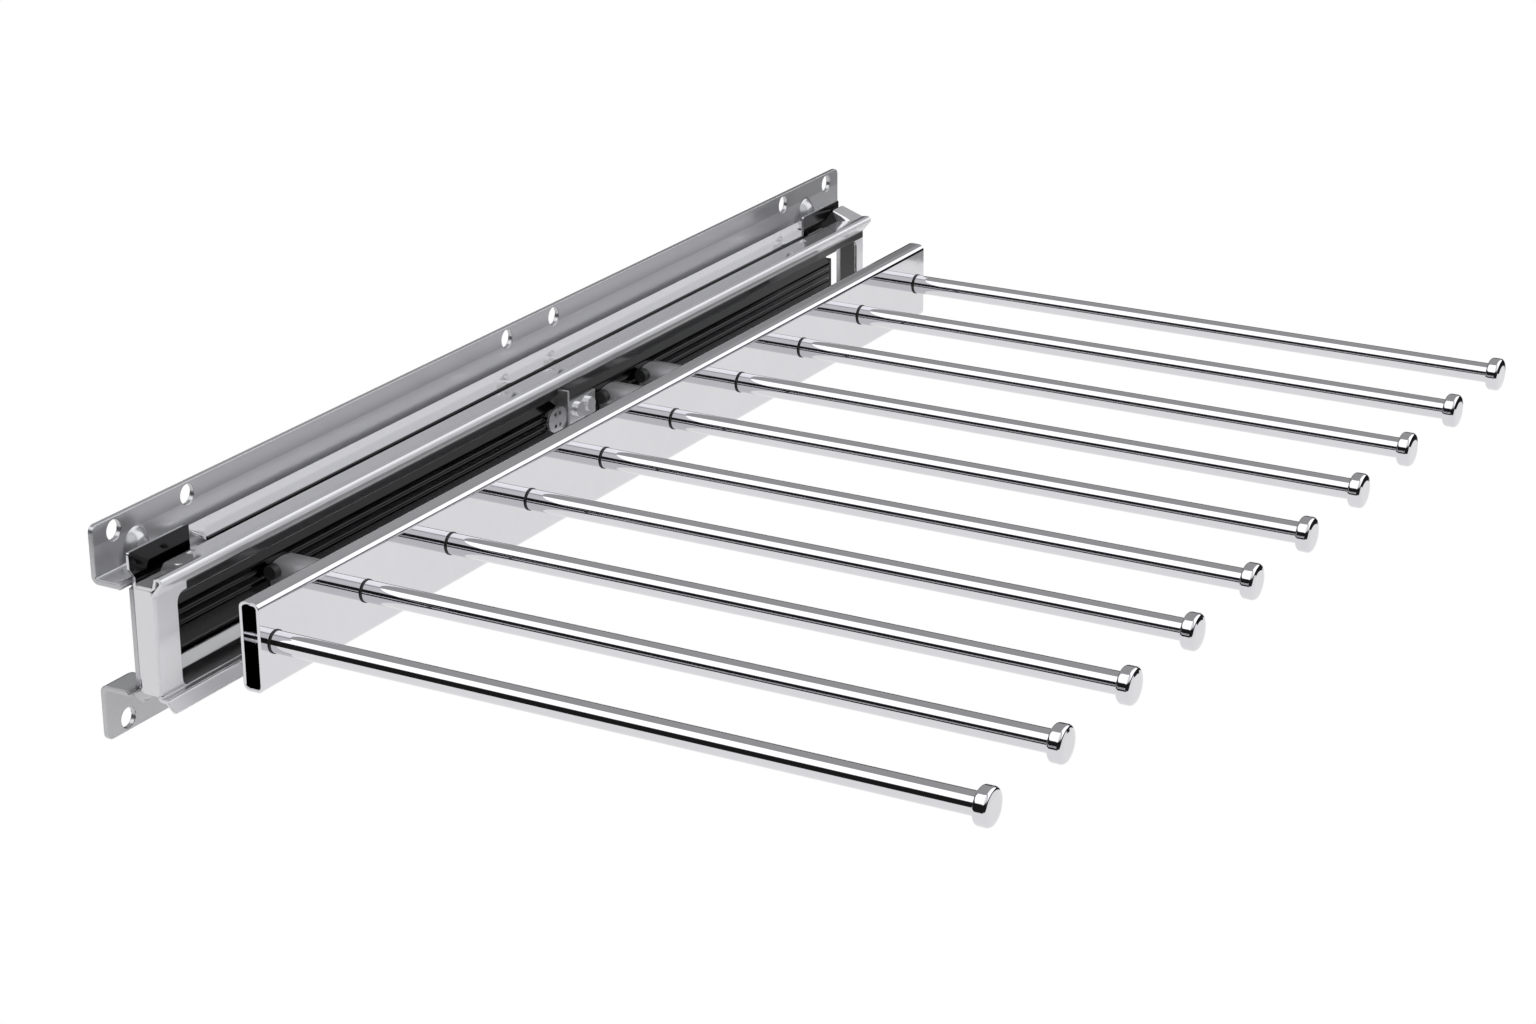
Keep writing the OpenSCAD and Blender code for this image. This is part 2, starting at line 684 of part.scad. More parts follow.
// One arm, with a spigot that passes the bar wall and rests on the back of the bar
module arm(i) {
    y = arm_y0 + i * arm_pitch;
    color("silver") union() {
        x_rod(bar_x0 + bar_wall, bar_x1 + ring_t + over, y, 0, spigot_d);
        x_rod(bar_x1 + ring_t, arm_end + cap_seat, y, 0, arm_d);
    }
}

// One cap: a rounded disc with a slightly domed face, bored for the arm
module cap(i) {
    y = arm_y0 + i * arm_pitch;
    r = cap_d / 2;
    rim_z = cap_len - cap_dome;
    side_z = rim_z - cap_round;
    color("silver") translate([arm_end, y, 0]) rotate([0, 90, 0]) difference() {
        rotate_extrude() {
            polygon([[0, 0], [r - cap_round, 0], [r, cap_round], [r, side_z], [r - cap_round, rim_z],
                     [r - 2 * cap_round, cap_len], [0, cap_len]]);
            translate([r - cap_round, cap_round]) circle(cap_round);
            translate([r - cap_round, side_z]) circle(cap_round);
        }
        translate([0, 0, -over]) cylinder(d = arm_d + 2 * seat, h = cap_seat + over + seat);
    }
}

wall_bracket();
back_plate();
outer_rail();
rail_rivets();
rear_buffer();
middle_rail();
outer_cages();
outer_balls();
inner_cages();
inner_balls();
inner_rail();
carriage_frame();
front_saddle();
middle_saddle();
rear_saddle();
saddle_pads();
centre_bracket();
bracket_screws();
arm_bar();
arm_rings();
arm(0);  // arm_1
arm(1);  // arm_2
arm(2);  // arm_3
arm(3);  // arm_4
arm(4);  // arm_5
arm(5);  // arm_6
arm(6);  // arm_7
arm(7);  // arm_8
arm(8);  // arm_9
arm(9);  // arm_10
cap(0);  // cap_1
cap(1);  // cap_2
cap(2);  // cap_3
cap(3);  // cap_4
cap(4);  // cap_5
cap(5);  // cap_6
cap(6);  // cap_7
cap(7);  // cap_8
cap(8);  // cap_9
cap(9);  // cap_10
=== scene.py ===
import json
import math

import bmesh
import bpy
from mathutils import Matrix, Vector
from mathutils.geometry import delaunay_2d_cdt

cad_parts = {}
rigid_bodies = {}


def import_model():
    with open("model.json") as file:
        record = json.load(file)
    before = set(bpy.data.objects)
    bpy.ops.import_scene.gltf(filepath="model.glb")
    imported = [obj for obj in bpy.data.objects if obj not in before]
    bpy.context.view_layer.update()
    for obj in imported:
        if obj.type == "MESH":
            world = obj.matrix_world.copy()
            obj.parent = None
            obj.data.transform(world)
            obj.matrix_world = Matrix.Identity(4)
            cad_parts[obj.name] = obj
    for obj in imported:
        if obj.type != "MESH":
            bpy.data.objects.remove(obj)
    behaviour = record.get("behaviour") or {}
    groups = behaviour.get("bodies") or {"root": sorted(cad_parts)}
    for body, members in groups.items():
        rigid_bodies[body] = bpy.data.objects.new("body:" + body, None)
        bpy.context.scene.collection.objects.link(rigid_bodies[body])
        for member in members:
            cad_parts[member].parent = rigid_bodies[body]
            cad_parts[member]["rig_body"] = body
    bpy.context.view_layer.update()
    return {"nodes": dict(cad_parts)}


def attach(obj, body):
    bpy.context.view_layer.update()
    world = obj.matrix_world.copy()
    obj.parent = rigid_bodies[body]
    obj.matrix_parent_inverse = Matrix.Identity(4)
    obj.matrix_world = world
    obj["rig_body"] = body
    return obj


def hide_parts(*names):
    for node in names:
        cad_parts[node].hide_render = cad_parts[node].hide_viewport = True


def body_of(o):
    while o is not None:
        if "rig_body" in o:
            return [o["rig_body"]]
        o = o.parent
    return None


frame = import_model()
scene = bpy.context.scene
scene.view_settings.view_transform = "Standard"
MM = 0.001

# Camera at the photograph's angle, placed in metres
AZIMUTH = math.radians(29.9)
ELEVATION = math.radians(20.69)
ROLL = math.radians(-0.48)
CAMERA_AT = Vector((0.71003, -1.04647, 0.43545))
CLIP_NEAR, CLIP_FAR = 0.01, 50.0
LENS_MM = 82.19
SENSOR_MM = 36.0


def make_camera():
    forward = Vector((-math.sin(AZIMUTH) * math.cos(ELEVATION),
                      math.cos(AZIMUTH) * math.cos(ELEVATION),
                      -math.sin(ELEVATION)))
    right = Vector((math.cos(AZIMUTH), math.sin(AZIMUTH), 0.0))
    up = right.cross(forward)
    right_rolled = right * math.cos(ROLL) + up * math.sin(ROLL)
    up_rolled = up * math.cos(ROLL) - right * math.sin(ROLL)
    lens = bpy.data.cameras.new("camera")
    lens.lens = LENS_MM
    lens.sensor_width = SENSOR_MM
    lens.sensor_fit = "HORIZONTAL"
    lens.clip_start = CLIP_NEAR
    lens.clip_end = CLIP_FAR
    camera = bpy.data.objects.new("camera", lens)
    turn = Matrix((right_rolled, up_rolled, -forward)).transposed().to_4x4()
    camera.matrix_world = Matrix.Translation(CAMERA_AT) @ turn
    scene.collection.objects.link(camera)
    scene.camera = camera


make_camera()


# Node helpers
def new_material(name):
    mat = bpy.data.materials.new(name)
    mat.use_nodes = True
    mat.node_tree.nodes.clear()
    return mat, mat.node_tree


def add(tree, kind, **values):
    node = tree.nodes.new(kind)
    for key, value in values.items():
        setattr(node, key, value)
    return node


def map_range(tree, source, a, b, c=0.0, d=1.0):
    node = add(tree, "ShaderNodeMapRange", interpolation_type="SMOOTHSTEP")
    node.inputs["From Min"].default_value = a
    node.inputs["From Max"].default_value = b
    node.inputs["To Min"].default_value = c
    node.inputs["To Max"].default_value = d
    tree.links.new(source, node.inputs["Value"])
    return node.outputs["Result"]


def math_node(tree, op, a, b):
    node = add(tree, "ShaderNodeMath", operation=op)
    for socket, v in zip(node.inputs, (a, b)):
        if isinstance(v, (int, float)):
            socket.default_value = v
        else:
            tree.links.new(v, socket)
    return node.outputs[0]


def times(tree, *factors):
    product = factors[0]
    for factor in factors[1:]:
        product = math_node(tree, "MULTIPLY", product, factor)
    return product


def most(tree, *values):
    largest = values[0]
    for value in values[1:]:
        largest = math_node(tree, "MAXIMUM", largest, value)
    return largest


def blend(tree, share, first, second, out):
    mix = add(tree, "ShaderNodeMixShader")
    for socket, source in zip(mix.inputs, (share, first.outputs[0], second.outputs[0])):
        tree.links.new(source, socket)
    tree.links.new(mix.outputs[0], out.inputs["Surface"])


def noise(tree, vector, scale, detail):
    node = add(tree, "ShaderNodeTexNoise")
    node.inputs["Scale"].default_value = scale
    node.inputs["Detail"].default_value = detail
    tree.links.new(vector, node.inputs["Vector"])
    return node


# A colour that runs from darker to lighter with a value around one half
TONE_LOW, TONE_HIGH = 0.35, 0.65


def tones(tree, source, colour, darker, lighter):
    node = add(tree, "ShaderNodeValToRGB")
    first, second = node.color_ramp.elements
    first.position = TONE_LOW
    first.color = tuple(c * darker for c in colour) + (1.0,)
    second.position = TONE_HIGH
    second.color = tuple(min(c * lighter, 1.0) for c in colour) + (1.0,)
    tree.links.new(source, node.inputs["Fac"])
    return node.outputs["Color"]


def raise_surface(tree, shader, height, strength, distance):
    node = add(tree, "ShaderNodeBump")
    node.inputs["Strength"].default_value = strength
    node.inputs["Distance"].default_value = distance
    tree.links.new(height, node.inputs["Height"])
    tree.links.new(node.outputs[0], shader.inputs["Normal"])


# Studio, as directions from the rack: each pair is where a part of it starts and is at full strength
CEILING_Z, CEILING_Y, CEILING_LEVEL = (0.17, 0.36), (-0.5, -0.1), 0.40
HIGH_BOX_Z, HIGH_BOX_Y = (0.42, 0.50), (-0.06, -0.16)
HIGH_BOX_X, HIGH_BOX_DIMMED = (0.30, 0.0), 0.62
LOW_BOX_Z, LOW_BOX_X, LOW_BOX_Y = (0.10, 0.20), (0.10, 0.28), (-0.2, 0.2)
BELOW_Z, BELOW_LEVEL = (-0.24, -0.34), 0.95
BOX_LEVEL, ROOM_LEVEL = 1.7, 0.015
STUDIO_TINT = (0.985, 0.99, 1.0, 1.0)
WHITE = (1.0, 1.0, 1.0, 1.0)


# White where the camera looks, soft boxes and a dim room where metal and matt surfaces look
def make_world():
    world = bpy.data.worlds.new("studio")
    scene.world = world
    world.use_nodes = True
    tree = world.node_tree
    tree.nodes.clear()
    out = add(tree, "ShaderNodeOutputWorld")
    coord = add(tree, "ShaderNodeTexCoord")
    split = add(tree, "ShaderNodeSeparateXYZ")
    tree.links.new(coord.outputs["Generated"], split.inputs[0])
    x, y, z = split.outputs
    # Dim ceiling, missing on the side where the rack pulls out
    ceiling = times(tree, map_range(tree, z, *CEILING_Z), CEILING_LEVEL, map_range(tree, y, *CEILING_Y))
    # Wide soft box high above the side where the rack pulls out, dimmer away from the wall
    high_box = times(tree, map_range(tree, z, *HIGH_BOX_Z), map_range(tree, y, *HIGH_BOX_Y),
                     map_range(tree, x, *HIGH_BOX_X, HIGH_BOX_DIMMED, 1.0))
    # Lower soft box away from the wall
    low_box = times(tree, map_range(tree, z, *LOW_BOX_Z), map_range(tree, x, *LOW_BOX_X),
                    map_range(tree, y, *LOW_BOX_Y))
    boxes = times(tree, most(tree, high_box, low_box), BOX_LEVEL)
    room = math_node(tree, "ADD", ceiling, ROOM_LEVEL)
    below = times(tree, map_range(tree, z, *BELOW_Z), BELOW_LEVEL)
    studio = add(tree, "ShaderNodeBackground")
    studio.inputs["Color"].default_value = STUDIO_TINT
    tree.links.new(most(tree, boxes, room, below), studio.inputs["Strength"])
    plain = add(tree, "ShaderNodeBackground")
    plain.inputs["Color"].default_value = WHITE
    plain.inputs["Strength"].default_value = 1.0
    path = add(tree, "ShaderNodeLightPath")
    blend(tree, path.outputs["Is Camera Ray"], studio, plain, out)


make_world()

# Floor, in metres
FLOOR_X, FLOOR_Z, FLOOR_HALF = 0.15, -0.62, 2.1
FLOOR_COLOUR = (0.9, 0.9, 0.9, 1.0)


# Floor far below the rack, white to the camera and in the metal
def make_floor():
    mesh = bpy.data.meshes.new("floor")
    bm = bmesh.new()
    for sx, sy in ((-1, -1), (1, -1), (1, 1), (-1, 1)):
        bm.verts.new((FLOOR_X + sx * FLOOR_HALF, sy * FLOOR_HALF, FLOOR_Z))
    bm.faces.new(bm.verts[:])
    bm.to_mesh(mesh)
    bm.free()
    floor = bpy.data.objects.new("floor", mesh)
    scene.collection.objects.link(floor)
    mat, tree = new_material("pale_floor")
    out = add(tree, "ShaderNodeOutputMaterial")
    matt_floor = add(tree, "ShaderNodeBsdfDiffuse")
    matt_floor.inputs["Color"].default_value = FLOOR_COLOUR
    glow = add(tree, "ShaderNodeEmission")
    glow.inputs["Strength"].default_value = 1.0
    path = add(tree, "ShaderNodeLightPath")
    seen = most(tree, path.outputs["Is Camera Ray"], path.outputs["Is Glossy Ray"],
                path.outputs["Is Transmission Ray"])
    blend(tree, seen, matt_floor, glow, out)
    mesh.materials.append(mat)


make_floor()

BAND_SOFT, BAND_END_SOFT = 0.0002, 0.0008   # metres over which a band sets in, at its sides and its end
GRAIN_DETAIL, GRAIN_ROUGHNESS, WAVE_DETAIL = 6.0, 0.6, 2.0
MIDDLE_LOW, MIDDLE_HIGH = 0.3, 0.7          # range that most of a noise lies in
SHEET_WAVE = 0.001                          # metres
# Colour factor of the painted dark reflection at a metal's dark edge
PAINTED_DARK_EDGE_SHADE = 0.03


# A metal. rough, spread: roughness and how far the grain changes it. grain: its stretch along each
# axis. wave: strength of soft waves. tint: how far the colour varies. polish: metal share, 1 for bare
# metal. face_polish: metal share where the surface faces along +X. face_painted_light_shade: factor
# on the colour of such faces, painted shade below 1 and painted light above 1; both are blended in
# between the slopes face_from and face_full. painted_bands: strips along Y of painted shade on such
# faces, each with its lower and upper edge, front end and shade. painted_dark_x: beyond it the colour
# is painted dark, a painted dark reflection.
def metal(name, colour, rough, spread, grain=(1.0, 1.0, 1.0), grain_scale=60.0, wave=0.0,
          wave_scale=9.0, tint=0.06, polish=1.0, face_polish=None, face_painted_light_shade=1.0,
          face_from=0.86, face_full=0.97, painted_bands=(), painted_dark_x=None):
    mat, tree = new_material(name)
    out = add(tree, "ShaderNodeOutputMaterial")
    shader = add(tree, "ShaderNodeBsdfPrincipled")
    shader.inputs["Metallic"].default_value = polish
    coord = add(tree, "ShaderNodeTexCoord")
    geometry = add(tree, "ShaderNodeNewGeometry")
    slope = add(tree, "ShaderNodeSeparateXYZ")
    tree.links.new(geometry.outputs["Normal"], slope.inputs[0])
    place = add(tree, "ShaderNodeSeparateXYZ")
    tree.links.new(coord.outputs["Object"], place.inputs[0])
    x, y, z = place.outputs
    facing = map_range(tree, slope.outputs[0], face_from, face_full)
    if face_polish is not None:
        tree.links.new(map_range(tree, facing, 0.0, 1.0, polish, face_polish), shader.inputs["Metallic"])

    # Grain and waves
    mapping = add(tree, "ShaderNodeMapping")
    mapping.inputs["Scale"].default_value = grain
    tree.links.new(coord.outputs["Object"], mapping.inputs["Vector"])
    streak = noise(tree, mapping.outputs[0], grain_scale, GRAIN_DETAIL)
    streak.inputs["Roughness"].default_value = GRAIN_ROUGHNESS
    soft = noise(tree, coord.outputs["Object"], wave_scale, WAVE_DETAIL)
    tree.links.new(map_range(tree, streak.outputs["Fac"], MIDDLE_LOW, MIDDLE_HIGH,
                             max(rough - spread, 0.0), rough + spread), shader.inputs["Roughness"])
    both = math_node(tree, "ADD", streak.outputs["Fac"], soft.outputs["Fac"])
    colours = tones(tree, times(tree, both, 0.5), colour, 1.0 - tint, 1.0 + tint)

    # Painted light and shade of the faces, the dark edge and the bands
    level = map_range(tree, facing, 0.0, 1.0, 1.0, face_painted_light_shade)
    if painted_dark_x is not None:
        level = times(tree, level, map_range(tree, x, painted_dark_x - BAND_SOFT, painted_dark_x + BAND_SOFT,
                                             1.0, PAINTED_DARK_EDGE_SHADE))
    for low_z, high_z, front_end, band in painted_bands:
        inner = times(tree, map_range(tree, z, low_z - BAND_SOFT, low_z + BAND_SOFT),
                      map_range(tree, z, high_z + BAND_SOFT, high_z - BAND_SOFT),
                      map_range(tree, y, front_end, front_end + BAND_END_SOFT), facing)
        level = times(tree, level, map_range(tree, inner, 0.0, 1.0, 1.0, band))
    shade = add(tree, "ShaderNodeVectorMath", operation="SCALE")
    tree.links.new(colours, shade.inputs[0])
    tree.links.new(level, shade.inputs["Scale"])
    tree.links.new(shade.outputs[0], shader.inputs["Base Color"])
    if wave > 0.0:
        raise_surface(tree, shader, soft.outputs["Fac"], wave, SHEET_WAVE)
    tree.links.new(shader.outputs[0], out.inputs["Surface"])
    return mat


MATT_DETAIL, MATT_SCALE, MATT_BUMP, MATT_DEPTH = 4.0, 900.0, 0.25, 0.0001
MATT_DARKER, MATT_LIGHTER, MATT_SPREAD = 0.75, 1.3, 0.08


def matt(name, colour, rough):
    mat, tree = new_material(name)
    out = add(tree, "ShaderNodeOutputMaterial")
    shader = add(tree, "ShaderNodeBsdfPrincipled")
    coord = add(tree, "ShaderNodeTexCoord")
    grain = noise(tree, coord.outputs["Object"], MATT_SCALE, MATT_DETAIL).outputs["Fac"]
    tree.links.new(tones(tree, grain, colour, MATT_DARKER, MATT_LIGHTER), shader.inputs["Base Color"])
    tree.links.new(map_range(tree, grain, MIDDLE_LOW, MIDDLE_HIGH, rough - MATT_SPREAD,
                             rough + MATT_SPREAD), shader.inputs["Roughness"])
    raise_surface(tree, shader, grain, MATT_BUMP, MATT_DEPTH)
    tree.links.new(shader.outputs[0], out.inputs["Surface"])
    return mat


# Bands of painted shade, in metres: lower and upper edge, front end, shade
WHOLE_LENGTH = -1.0
# Painted shade darkens the upper part of the flange
FLANGE_PAINTED_SHADE = (0.0305, 0.05, WHOLE_LENGTH, 0.78)
# Painted shade makes the web almost black where it shows through the window
WEB_PAINTED_SHADE = (-0.0175, 0.0175, WHOLE_LENGTH, 0.05)
# Painted shade makes the frame's plate almost black along the top of the window
WINDOW_EDGE_PAINTED_SHADE = (0.0148, 0.0182, -0.2318, 0.03)
# Painted shade makes the upper half of the outer rail almost black, on faces along +X
UPPER_HALF_PAINTED_SHADE = (0.0, 0.05, WHOLE_LENGTH, 0.05)
# Painted dark reflection along the lip's front edge, beyond this X in metres
LIP_PAINTED_DARK_X = 0.0136

# Stretch of the grain of sheets and rails, which were rolled along Y
BRACKET_GRAIN, SHEET_GRAIN, RAIL_GRAIN = (6.0, 0.3, 6.0), (6.0, 0.35, 6.0), (8.0, 0.3, 8.0)

chrome = metal("polished_chrome", (0.67, 0.665, 0.69), rough=0.04, spread=0.015, grain_scale=140.0,
               wave=0.02, wave_scale=14.0, tint=0.02)
# The lip's front edge carries a painted dark reflection
lip_sheet = metal("chromed_lip_sheet", (0.80, 0.795, 0.81), rough=0.10, spread=0.01, grain=SHEET_GRAIN,
                  grain_scale=120.0, wave=0.01, wave_scale=16.0, tint=0.006, polish=0.80,
                  painted_dark_x=LIP_PAINTED_DARK_X)
# Painted shade on the upper flange and on the web
satin_sheet = metal("satin_chromed_sheet", (0.55, 0.55, 0.565), rough=0.25, spread=0.008,
                    grain=BRACKET_GRAIN, grain_scale=90.0, wave=0.01, wave_scale=14.0, tint=0.006,
                    polish=0.74, face_polish=0.52, painted_bands=(FLANGE_PAINTED_SHADE, WEB_PAINTED_SHADE))
# Painted light on faces along +X, and painted shade along the top of the window
frame_sheet = metal("chromed_frame_sheet", (0.70, 0.695, 0.715), rough=0.07, spread=0.006,
                    grain=SHEET_GRAIN, grain_scale=90.0, wave=0.01, wave_scale=16.0, tint=0.006,
                    polish=0.74, face_polish=0.10, face_painted_light_shade=1.25, face_from=0.50, face_full=0.76,
                    painted_bands=(WINDOW_EDGE_PAINTED_SHADE,))
# Painted shade: faces along +X are almost black
painted_shade_sheet = metal("sheet_with_painted_shade", (0.62, 0.62, 0.64), rough=0.10, spread=0.02, grain=SHEET_GRAIN,
                   grain_scale=120.0, wave=0.02, wave_scale=16.0, tint=0.03, face_painted_light_shade=0.03,
                   face_from=0.40, face_full=0.75)
# Painted shade: a dark colour, darker still on faces along +X, for the rails inside the window
rail_steel = metal("rail_steel", (0.20, 0.20, 0.205), rough=0.13, spread=0.03, grain=RAIL_GRAIN,
                   grain_scale=150.0, wave=0.03, wave_scale=20.0, face_painted_light_shade=0.08, face_from=0.45,
                   face_full=0.80)
# Painted shade on the upper half of its faces along +X
outer_rail_painted_shade = metal("rail_steel_with_painted_shade_on_top", (0.62, 0.62, 0.63), rough=0.16, spread=0.03, grain=RAIL_GRAIN,
                   grain_scale=150.0, wave=0.02, wave_scale=20.0, tint=0.03, polish=0.8,
                   face_polish=0.3, painted_bands=(UPPER_HALF_PAINTED_SHADE,))
zinc = metal("zinc_plated_steel", (0.66, 0.66, 0.675), rough=0.22, spread=0.02, grain_scale=220.0,
             wave=0.02, wave_scale=60.0, tint=0.02, polish=0.60)
bright_zinc = metal("bright_zinc_steel", (0.78, 0.78, 0.79), rough=0.14, spread=0.02,
                    grain_scale=200.0, wave=0.02, wave_scale=60.0, tint=0.03, polish=0.80,
                    face_polish=0.65)
ball_steel = metal("ball_steel", (0.7, 0.7, 0.72), rough=0.05, spread=0.02)
rubber = matt("black_rubber", (0.018, 0.018, 0.018), rough=0.62)
plastic = matt("dark_plastic", (0.02, 0.02, 0.022), rough=0.45)


# Places on the frame, in millimetres
def extent(name):
    node = frame["nodes"][name]
    points = [node.matrix_world @ v.co / MM for v in node.data.vertices]
    low = Vector([min(p[i] for p in points) for i in range(3)])
    high = Vector([max(p[i] for p in points) for i in range(3)])
    return low, high


# Angle from one direction to the next, to the left
def turn_angle(a, b):
    return math.atan2(a.x * b.y - a.y * b.x, a.dot(b))


# Line of straight runs with a round bend at each corner, measured along its length
class Bent:
    def __init__(self, corners, radius):
        points = [Vector(c) for c in corners]
        radii = radius if isinstance(radius, list) else [radius] * (len(points) - 2)
        self.runs = []
        self.length = 0.0
        self.bends = []
        start = points[0]
        for before, corner, after, r in zip(points, points[1:], points[2:], radii):
            a = (corner - before).normalized()
            b = (after - corner).normalized()
            angle = turn_angle(a, b)
            back = r * math.tan(abs(angle) / 2)
            side = math.copysign(1.0, angle)
            bend = corner - a * back
            self._straight(start, bend)
            centre = bend + Vector((-a.y, a.x)) * side * r
            self.runs.append((self.length, centre, bend - centre, side / r))
            self.bends.append((self.length, self.length + abs(angle) * r))
            self.length += abs(angle) * r
            start = corner + b * back
        self._straight(start, points[-1])

    def _straight(self, a, b):
        self.runs.append((self.length, a, (b - a).normalized(), None))
        self.length += (b - a).length

    def at(self, s):
        run = self.runs[0]
        for candidate in self.runs:
            if candidate[0] <= s:
                run = candidate
        begin, origin, vector, turn_rate = run
        if turn_rate is None:
            return origin + vector * (s - begin)
        return origin + Matrix.Rotation((s - begin) * turn_rate, 2) @ vector

    def marks(self, steps=7):
        places = [0.0, self.length]
        for a, b in self.bends:
            places += [a + (b - a) * i / steps for i in range(steps + 1)]
        return sorted(set(round(p, 6) for p in places))


CORNER_STEPS = 6            # faces round a rounded corner
OVER = 1.0                  # how far a line in the pattern runs past the outline


# Closed outlines in the flat pattern
def circle(a, b, radius, steps):
    return [Vector((a + radius * math.cos(t), b + radius * math.sin(t)))
            for t in (2 * math.pi * i / steps for i in range(steps))]


# Loop through corners that are given as two places and a radius
def rounded(corners):
    points = [Vector(c[:2]) for c in corners]
    loop = []
    for i, p in enumerate(points):
        r = corners[i][2]
        if r <= 0.0:
            loop.append(p)
            continue
        before = (p - points[i - 1]).normalized()
        after = (points[(i + 1) % len(points)] - p).normalized()
        angle = turn_angle(before, after)
        back = r * math.tan(abs(angle) / 2)
        side = math.copysign(1.0, angle)
        centre = p - before * back + Vector((-before.y, before.x)) * side * r
        spoke = p - before * back - centre
        loop += [centre + Matrix.Rotation(angle * k / CORNER_STEPS, 2) @ spoke
                 for k in range(CORNER_STEPS + 1)]
    return loop


def box_loop(a0, a1, b0, b1, radius=0.0):
    return rounded([(a, b, radius) for a, b in ((a0, b0), (a1, b0), (a1, b1), (a0, b1))])


def inside(loop, p):
    hit = False
    for i, q in enumerate(loop):
        o = loop[i - 1]
        if (q.y > p.y) != (o.y > p.y) and p.x < (o.x - q.x) * (p.y - q.y) / (o.y - q.y) + q.x:
            hit = not hit
    return hit


# Extra places in the flat pattern, where a surface bends
def long_lines(places, y0, y1):
    return [((s, y0 - OVER), (s, y1 + OVER)) for s in places]


def grid_around(s, y, step, count, bare=(-1, -1)):
    return [(s + i * step[0], y + j * step[1])
            for i in range(-count[0], count[0] + 1) for j in range(-count[1], count[1] + 1)
            if abs(i) > bare[0] or abs(j) > bare[1]]


# Height of a round swelling, 1 in the middle and 0 from a distance of 1 on
def swell(distance):
    return 0.5 + 0.5 * math.cos(math.pi * min(abs(distance), 1.0))


def smooth_step(value):
    v = min(max(value, 0.0), 1.0)
    return v * v * (3.0 - 2.0 * v)


WELD = 2e-7                 # metres between points that become one


# Object from points, their normals and faces; points in millimetres
def make_object(name, points, normals, faces, look, node_name):
    bm = bmesh.new()
    layer = bm.verts.layers.float_vector.new("facing")
    verts = []
    for p, n in zip(points, normals):
        v = bm.verts.new(p * MM)
        v[layer] = n
        verts.append(v)
    for f in faces:
        if len(set(f)) > 2:
            try:
                bm.faces.new([verts[i] for i in f])
            except ValueError:
                pass
    bmesh.ops.remove_doubles(bm, verts=bm.verts, dist=WELD)
    loose = [v for v in bm.verts if not v.link_faces]
    bmesh.ops.delete(bm, geom=loose, context="VERTS")
    for f in bm.faces:
        f.smooth = True
    facing = [tuple(v[layer].normalized()) for v in bm.verts]
    mesh = bpy.data.meshes.new(name)
    bm.to_mesh(mesh)
    bm.free()
    mesh.attributes.remove(mesh.attributes["facing"])
    mesh.normals_split_custom_set_from_vertices(facing)
    mesh.materials.append(look)
    piece = bpy.data.objects.new(name, mesh)
    scene.collection.objects.link(piece)
    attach(piece, body_of(frame["nodes"][node_name])[0])
    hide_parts(node_name)


# Sheets, in millimetres
STEP = 0.004                # distance over which a slope is taken
MERGE = 1e-4                # distance between pattern points that become one
FLUSH_RIM = 0.004           # rim radius where a sheet's edge lies against another
RIM_STEPS = 3               # faces over a quarter of a rounded rim
MITRE_MOST, MITRE_LEAST = 2.0, 0.35     # limits on the stretch of a rim at sharp corners


# Pattern points, and the triangles between them inside the outline and outside its holes
def fill_pattern(outline, holes, lines, points):
    verts = []
    edges = []
    for loop in [outline] + list(holes):
        first = len(verts)
        verts += loop
        edges += [(first + i, first + (i + 1) % len(loop)) for i in range(len(loop))]
    for a, b in lines:
        edges.append((len(verts), len(verts) + 1))
        verts += [Vector(a), Vector(b)]
    verts += [Vector(p) for p in points]
    flat, _, tris, _, _, _ = delaunay_2d_cdt(verts, edges, [], 0, MERGE)
    kept = []
    for tri in tris:
        c = (flat[tri[0]] + flat[tri[1]] + flat[tri[2]]) / 3.0
        if inside(outline, c) and not any(inside(h, c) for h in holes):
            kept.append(tri)
    return flat, kept


# Edges that only one triangle has
def open_edges(tris):
    border = {}
    for tri in tris:
        for i in range(3):
            a, b = tri[i], tri[(i + 1) % 3]
            if (b, a) in border:
                del border[(b, a)]
            else:
                border[(a, b)] = True
    return list(border)


